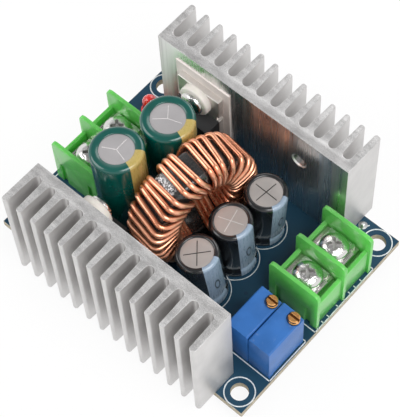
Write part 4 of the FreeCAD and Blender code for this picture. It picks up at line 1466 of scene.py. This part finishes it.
@dataclass
class Inductor:
    """Toroid wound with three wires at once, standing on its rim."""

    centre: tuple[float, float, float] = (29.3, 22.22, 12.93)
    yaw: float = math.radians(-7.2)
    outer: float = 11.7
    bore: float = 7.1
    width: float = 6.5
    edge: float = 0.8
    # Radius of the wire, its gap to the core, and how far a loop turns in the bore, in degrees.
    wire: float = 0.55
    gap: float = 0.03
    slant: float = 9.0
    # Steps between the wire ends along and across the board, and the heights of their control points.
    end_spacing: float = 2.6
    end_reach: float = 3.2
    end_heights: tuple[float, ...] = (-BOARD_TOP, -2.2, -1.1, -0.05)
    # White specks on the top, varnish with painted glints: place along the axis and angle from the rear side.
    varnish: tuple[float, float] = (-0.9, 118.5)
    # Angle in the bore, and angles at the rim's input and output edges, in degrees from the rear side.
    strands: tuple[tuple[float, float, float], ...] = (
        (2.0, 0.5, 0.5), (11.7, 9.5, 8.0), (21.4, 17.5, 17.5),
        (32.0, 28.0, 29.5), (41.7, 39.5, 43.0), (51.4, 49.5, 57.0),
        (61.5, 61.0, 69.0), (71.2, 71.0, 75.5), (80.9, 79.0, 82.0),
        (90.0, 96.0, 95.0), (99.0, 102.0, 102.5), (108.0, 108.5, 110.5),
        (125.5, 122.0, 121.5), (135.2, 127.2, 129.5), (144.9, 132.4, 137.5),
        (155.0, 141.0, 148.0), (164.7, 152.0, 158.0), (174.5, 162.0, 167.0), (184.2, 177.0, 178.0),
        (194.0, 191.0, 190.0), (203.7, 200.0, 200.0), (213.4, 210.0, 212.0),
        (223.5, 222.0, 224.0), (233.2, 232.0, 234.0), (242.9, 243.0, 242.0),
        (282.5, 281.0, 283.0), (292.2, 292.0, 292.0), (301.9, 302.0, 300.0),
        (314.5, 312.0, 313.0), (324.2, 322.0, 323.0), (333.9, 332.0, 332.0),
        (347.0, 345.5, 345.5))

    def frame(self) -> Matrix:
        """Place of the coil's own axis, which runs along X."""
        return Matrix.Translation(spot(*self.centre)) @ Matrix.Rotation(self.yaw, 4, "Z")

    def core(self) -> None:
        """Lacquered ring with softly broken edges."""
        half, cut = self.width / 2, self.edge
        upper = [(self.outer, half - cut), (self.outer - cut * 0.3, half - cut * 0.3),
                 (self.outer - cut, half), (self.bore + 0.4, half), (self.bore, half - 0.4)]
        profile = [(radius, -height) for radius, height in reversed(upper)] + upper
        ring = Piece.lathe("inductor_ring", profile, 96)
        ring.bevel(0.25, 2, 30)
        ring.moved(self.frame() @ Matrix.Rotation(math.radians(90), 4, "Y"))
        speck_middle = self.frame() @ Vector(self.polar(self.varnish[0], self.outer, self.varnish[1]))
        lacquer = CoreLacquer("coated_core", (speck_middle.x, speck_middle.y), math.tan(self.yaw))
        ring.smooth(40).dress(lacquer).place(ROOT, "coated_core", "inductor_core")

    @staticmethod
    def polar(x: float, radius: float, degrees: float) -> tuple[float, float, float]:
        """Point of the coil's axes, in metres, from a place along it, a radius and an angle."""
        turn = math.radians(degrees)
        return (x * MM, radius * math.cos(turn) * MM, radius * math.sin(turn) * MM)

    def path(self, inner: float, first: float, second: float,
             lift: float) -> list[tuple[float, float, float]]:
        """Line of one loose loop round the ring's section.

        Args:
            inner: angle in the bore, in degrees.
            first: angle over the rim's input edge.
            second: angle over the rim's output edge.
            lift: extra standoff over the rim, in millimetres.

        Returns:
            Control points, in metres.
        """
        reach = self.wire + self.gap
        half = self.width / 2 + reach
        low, high = self.bore - reach, self.outer + reach + lift
        span = high - low
        # Place along the axis, radius, and how far the angle has moved from the bore's to the rim's.
        side = ((half * 0.42, low, 0.0), (half * 0.85, low, 0.0), (half + 0.05, low + 0.4, 0.05),
                (half + 0.30, low + span * 0.32, 0.36), (half + 0.40, low + span * 0.60, 0.66),
                (half + 0.26, high - 0.95, 0.92), (half - 0.50, high + 0.02, 1.0))
        points = [(0.0, low, inner)]
        for x, radius, share in side:
            start = inner + self.slant * x / half
            points.append((-x, radius, start + (first - start) * share))
        for share in (0.28, 0.5, 0.72):
            points.append((half * (2 * share - 1), high, first + (second - first) * share))
        for x, radius, share in reversed(side):
            start = inner - self.slant * x / half
            points.append((x, radius, start + (second - start) * share))
        return [self.polar(*point) for point in points]

    def wire_piece(self, name: str, lines: Sequence[Sequence[tuple[float, float, float]]],
                   closed: bool) -> Piece:
        """Round wire along smooth lines, made a mesh.

        Args:
            name: the object's name.
            lines: control points of each wire, in metres.
            closed: join each line's ends.

        Returns:
            The wires as one piece.
        """
        curve = bpy.data.curves.new(name, "CURVE")
        curve.dimensions = "3D"
        curve.bevel_depth = self.wire * MM
        curve.bevel_resolution = 3
        curve.resolution_u = 3
        curve.use_fill_caps = not closed
        for line in lines:
            spline = curve.splines.new("NURBS")
            spline.points.add(len(line) - 1)
            for point, place in zip(spline.points, line):
                point.co = (*place, 1.0)
            spline.order_u = 3
            spline.use_cyclic_u = closed
            spline.use_endpoint_u = not closed
        drawn = bpy.data.objects.new(name, curve)
        bpy.context.scene.collection.objects.link(drawn)
        Piece.clear()
        drawn.select_set(True)
        bpy.context.view_layer.objects.active = drawn
        bpy.ops.object.convert(target="MESH")
        return Piece(bpy.context.active_object)

    def winding(self) -> None:
        """Every loop, in groups as it was wound."""
        chance = random.Random(5)
        lines = [self.path(*strand, 0.04 * chance.random()) for strand in self.strands]
        wires = self.wire_piece("inductor_wires", lines, True).moved(self.frame())
        wires.smooth(60).dress(Palette.COPPER).place(ROOT, "enamelled_copper", "inductor_winding")

    def ends(self) -> None:
        """Six straight ends down through the board."""
        place = Matrix.Translation(spot(*self.centre[:2], 0)) @ Matrix.Rotation(self.yaw, 4, "Z")
        lines = []
        for side in (-1, 1):
            for index in (-1, 0, 1):
                x, y = side * self.end_reach, index * self.end_spacing
                lines.append([(x * MM, y * MM, z * MM) for z in self.end_heights])
        wires = self.wire_piece("inductor_tails", lines, False).moved(place)
        wires.smooth(60).dress(Palette.COPPER).place(ROOT, "enamelled_copper", "inductor_wire_ends")

    def build(self) -> None:
        """Core, wires and ends."""
        self.core()
        self.winding()
        self.ends()


@dataclass
class PowerPackages:
    """Packages screwed to the heatsinks over pads, and their fixings."""

    hole_height: float = TAPPED_HEIGHT
    # Each fixing's place along X and Y, and the turn about X that points it outwards.
    fixed_at: tuple[tuple[float, float, float], ...] = (
        (17.67, REAR_FACE, 90.0), (19.83, FRONT_FACE, -90.0))
    # Pad and tab under the bushing's flange.
    stack: float = 1.57
    flange: float = 1.5
    flange_radius: float = 3.3
    shank: float = 1.45
    # The fixing's head radius and height, and how far it goes into the heatsink.
    head: tuple[float, float] = (2.45, 1.4)
    grip: float = 1.8

    def stations(self) -> list[Matrix]:
        """Axis of each screw, pointing out of its heatsink."""
        return [Matrix.Translation(spot(x, y, self.hole_height)) @ Matrix.Rotation(math.radians(turn), 4, "X")
                for x, y, turn in self.fixed_at]

    def packages(self) -> None:
        """Moulded bodies, tabs with leads, and pads."""
        for name in ("controller", "rectifier"):
            round_off(f"{name}_body", f"{name}_moulding", Palette.EPOXY, "black_epoxy", (0.12, 2, 30))
            round_off(f"{name}_frame", f"{name}_tab", Palette.TAB, "tinned_frame", (0.08, 1, 40))
        round_off("insulating_pads", "isolating_pads", Palette.PAD, "silicone_pad", (0.05, 1, 40))

    def fixings(self) -> None:
        """Flanged bushings and the screws through them."""
        low, high = self.stack, self.stack + self.flange
        bore, rim = self.shank + 0.02, self.flange_radius
        profile = [(bore, low), (rim - 0.1, low), (rim, low + 0.12), (rim, high - 0.3),
                   (rim - 0.08, high - 0.12), (rim - 0.3, high), (bore, high)]
        ring = Piece.lathe("bushing", profile, 48)
        screw = PanScrew(*self.head, high + self.grip, slot_length=2.4, depth=0.8).model("tab_screw")
        rings, screws = [], []
        for place in self.stations():
            rings.append(ring.copy("ring", place))
            screws.append(screw.copy("fixing", place @ Matrix.Translation((0, 0, high * MM))))
        ring.discard()
        screw.discard()
        bushings = Piece.joined("flanged_bushings", rings)
        bushings.smooth(40).dress(Palette.BUSHING).place(ROOT, "white_bushing", "tab_bushings")
        Piece.joined("tab_fixings", screws).place(ROOT, "bright_nickel", "tab_screws")

    def build(self) -> None:
        """Packages, then what holds them."""
        self.packages()
        self.fixings()


@dataclass
class Lamp:
    """Red indicator lamp beside the rear heatsink."""

    place: tuple[float, float] = (5.1, 36.2)
    radius: float = 1.5
    # Radius and thickness of the flange.
    flange: tuple[float, float] = (1.9, 0.9)
    height: float = 5.0
    standoff: float = 0.5

    def build(self) -> None:
        """Lens with a round dome over a flange."""
        low, top = self.standoff, self.standoff + self.height
        rim, brim = self.flange[0], low + self.flange[1]
        profile = [(0, low), (rim - 0.1, low), (rim, low + 0.1), (rim, brim - 0.1), (rim - 0.1, brim),
                   (self.radius, brim + 0.03), (self.radius - 0.03, top - self.radius)]
        profile += [(self.radius * math.cos(turn), top - self.radius + self.radius * math.sin(turn))
                    for turn in arc(9)[1:]]
        profile[-1] = (0.0, top)
        lens = Piece.lathe("lamp_dome", profile, 40).moved(Matrix.Translation(spot(*self.place, 0)))
        lens.smooth(45).dress(Palette.RED).place(ROOT, "red_lens", "lamp_lens")
        dress_node("lamp_leads", Palette.TIN)


@dataclass
class Underside:
    """Flat parts soldered under the board."""

    edge: tuple[float, int, float] = (0.05, 1, 35)
    # Middles of the two shunts along X, and how far from there their end caps start.
    shunts: tuple[float, float] = (26.0, 34.5)
    cap_at: float = 2.26

    def build(self) -> None:
        """All the flat parts."""
        for part in ("amplifier", "regulator"):
            feet = "leads" if part == "amplifier" else "feet"
            round_off(f"{part}_body", f"{part}_moulding", Palette.EPOXY, "black_epoxy", self.edge)
            round_off(f"{part}_{feet}", f"{part}_wings", Palette.TIN, "solder_tin", self.edge)
        centres = [spot(x, 0, 0).x for x in self.shunts]

        def cap(centre: Vector, facing: Vector) -> bool:
            """End caps of the shunts."""
            return min(abs(centre.x - middle) for middle in centres) > self.cap_at * MM

        round_off("shunt_resistors", "shunt_blocks", Palette.RESISTOR, "resistor_black", self.edge,
                  [(Palette.TIN, cap)])
        round_off("chip_components", "chip_blocks", Palette.CERAMIC, "chip_ceramic", self.edge)


@dataclass
class Studio:
    """Camera, soft lights and pale floor."""

    # The camera's place, in millimetres, its axes, and its lens.
    position: tuple[float, float, float] = (100.14, -97.355, 269.99)
    right: tuple[float, float, float] = (0.7536, 0.657, -0.0203)
    up: tuple[float, float, float] = (-0.5676, 0.666, 0.484)
    back: tuple[float, float, float] = (0.3315, -0.3532, 0.8748)
    lens: float = 143.15
    shift: tuple[float, float] = (-0.0731, -0.0332)
    # How bright the world is as a light, and what metal sees straight above.
    ambient: float = 0.40
    ceiling: float = 0.34
    # Each lamp's name, place in metres, width in metres and power in watts.
    lamps: tuple[tuple[str, tuple[float, float, float], float, float], ...] = (
        ("key", (0.30, -0.04, 0.42), 0.36, 1.75),
        ("fill", (-0.30, -0.25, 0.34), 0.40, 1.15),
        ("rear", (-0.06, 0.42, 0.30), 0.30, 0.52))
    # The floor's width, how far it lies under the module, in metres, and its whiteness.
    floor_size: float = 2.4
    floor_gap: float = 0.0002
    floor_white: float = 0.9

    def camera(self) -> None:
        """Camera at the photograph's angle."""
        data = bpy.data.cameras.new("camera")
        data.lens = self.lens
        data.sensor_width = 36.0
        data.sensor_fit = "HORIZONTAL"
        data.shift_x, data.shift_y = self.shift
        data.clip_start, data.clip_end = 0.01, 10.0
        camera = bpy.data.objects.new("camera", data)
        turn = Matrix((self.right, self.up, self.back)).transposed().to_4x4()
        camera.matrix_world = Matrix.Translation(Vector(self.position) * MM) @ turn
        bpy.context.scene.collection.objects.link(camera)
        bpy.context.scene.camera = camera

    def lamp(self, name: str, place: tuple[float, float, float], size: float, energy: float) -> None:
        """Large soft light aimed at the module."""
        data = bpy.data.lights.new(name, "AREA")
        data.shape = "DISK"
        data.size = size
        data.energy = energy
        lamp = bpy.data.objects.new(name, data)
        lamp.location = place
        lamp.rotation_mode = "QUATERNION"
        lamp.rotation_quaternion = (-Vector(place)).to_track_quat("-Z", "Y")
        bpy.context.scene.collection.objects.link(lamp)

    def world(self) -> None:
        """White to the camera; to metal, white at the horizon under a grey ceiling; softer as a light."""
        sky = Sky("studio")
        shown = sky.height().ramp(0.30, 0.85, 1.0, self.ceiling)
        clear = sky.ray("Glossy").most(sky.ray("Transmission"))
        seen = self.ambient + clear * (shown - self.ambient)
        seen = seen + sky.ray("Camera") * (1.0 - seen)
        sky.surface.inputs["Color"].default_value = (1, 1, 1, 1)
        sky.link(seen, sky.surface.inputs["Strength"])

    def floor(self) -> None:
        """Pale floor that keeps the module's shadow."""
        Piece.clear()
        bpy.ops.mesh.primitive_plane_add(size=self.floor_size, location=(0, 0, -self.floor_gap))
        floor = bpy.context.active_object
        floor.name = "floor"
        bpy.ops.object.transform_apply(location=True, rotation=True, scale=True)
        shader = Shader("floor_white")
        shader.set(Base_Color=(self.floor_white,) * 3, Roughness=0.9)
        glow = shader.node("ShaderNodeEmission", None, {"Strength": 1.0})
        seen = shader.ray("Camera").most(shader.ray("Glossy")).most(shader.ray("Transmission"))
        share = seen * self.floor_white
        surface = Value(shader, shader.surface.outputs[0])
        shader.link(shader.node("ShaderNodeMixShader", None, {0: share, 1: surface, 2: glow}),
                    shader.output.inputs["Surface"])
        floor.data.materials.append(shader.material)

    def build(self) -> None:
        """Set the stage."""
        scene = bpy.context.scene
        scene.view_settings.view_transform = "Standard"
        self.camera()
        self.world()
        self.floor()
        for lamp in self.lamps:
            self.lamp(*lamp)


@dataclass
class CapacitorKind:
    """What capacitors of one size and sleeve share."""

    label: str
    slot: str
    radius: float
    height: float
    lip: float
    edge: float
    film: Colour
    stripe: Colour
    # Middle and half width of the stripe, in degrees, and heights of its marks.
    stripe_at: float
    stripe_half: float
    marks: tuple[float, ...]
    disc_tint: Colour

    def place(self, letter: str, base: tuple[float, float], lean: tuple[float, float],
              arms: tuple[float, ...], arm_tint: Colour) -> Capacitor:
        """One capacitor of the kind.

        Args:
            letter: its letter.
            base: middle of its foot on the board.
            lean: lean along X and Y, in radians.
            arms: directions of its scored lines, in degrees.
            arm_tint: light painted in those lines, pale for a highlight and dark for a shade.

        Returns:
            The capacitor.
        """
        centre = spot(*base, 0)
        finish = SleeveFilm(f"{self.slot}_{letter}", self.film, self.stripe, (centre.x, centre.y), lean,
                            math.radians(self.stripe_at), math.radians(self.stripe_half), self.marks)
        return Capacitor(f"{self.label}_capacitor_{letter}", base, lean, self.radius, self.height, finish,
                         self.slot, arms, arm_tint, self.disc_tint, lip=self.lip, edge=self.edge)


def capacitors() -> list[Capacitor]:
    """The five capacitors: two tall green ones and three short black ones."""
    tall = CapacitorKind("tall", "teal_film", 4.9, 24.2, 1.6, 0.8, (0.0, 0.086, 0.069), (0.50, 0.38, 0.115),
                         9, 27, (), (0.505, 0.486, 0.494))
    short = CapacitorKind("short", "black_film", 3.9, 15.0, 0.85, 0.7, (0.011, 0.012, 0.014),
                          (0.305, 0.40, 0.51), -3, 29, (BOARD_TOP + 8.5,), (0.54, 0.508, 0.488))
    # Light painted in the scored lines: a highlight on the tall cans and on short can b, a shade on short
    # cans a and c.
    tall_score_highlight, bright, dark = (0.84, 0.82, 0.82), (0.80, 0.79, 0.78), (0.09, 0.085, 0.08)
    made = [tall.place("a", (18.3, 15.9), (-0.052, 0.018), (92, 208, -16), tall_score_highlight),
            tall.place("b", (19.56, 27.1), (0.0, 0.0), (130, 221, 19), tall_score_highlight)]
    for letter, base, lean, turn, tint in (("a", (38.63, 31.02), (0.06, -0.01), 0, dark),
                                           ("b", (38.88, 22.74), (-0.026, -0.028), 19, bright),
                                           ("c", (39.14, 14.35), (-0.06, -0.06), 47, dark)):
        arms = tuple(turn + step for step in (0, 84, 180, 264))
        made.append(short.place(letter, base, lean, arms, tint))
    return made


def main() -> None:
    """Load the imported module, dress it and set the stage."""
    logging.basicConfig(level=logging.INFO, format="%(message)s")
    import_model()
    Piece.clear()
    Heatsinks().build()
    Board().build()
    screw = PanScrew().model("terminal_screw")
    TerminalBlock(Side.INPUT, (12.5, 21.9), True).build(screw)
    TerminalBlock(Side.OUTPUT, (48.3, 29.2), False).build(screw)
    screw.discard()
    Trimmer("outer", (TRIMMER_END - TRIMMER_WIDTH, TRIMMER_FRONT)).build()
    Trimmer("inner", (TRIMMER_END - 2 * TRIMMER_WIDTH - TRIMMER_GAP, TRIMMER_FRONT)).build()
    for capacitor in capacitors():
        capacitor.build()
    Inductor().build()
    PowerPackages().build()
    Lamp().build()
    Underside().build()
    Studio().build()
    Piece.clear()


if __name__ == "__main__":
    main()
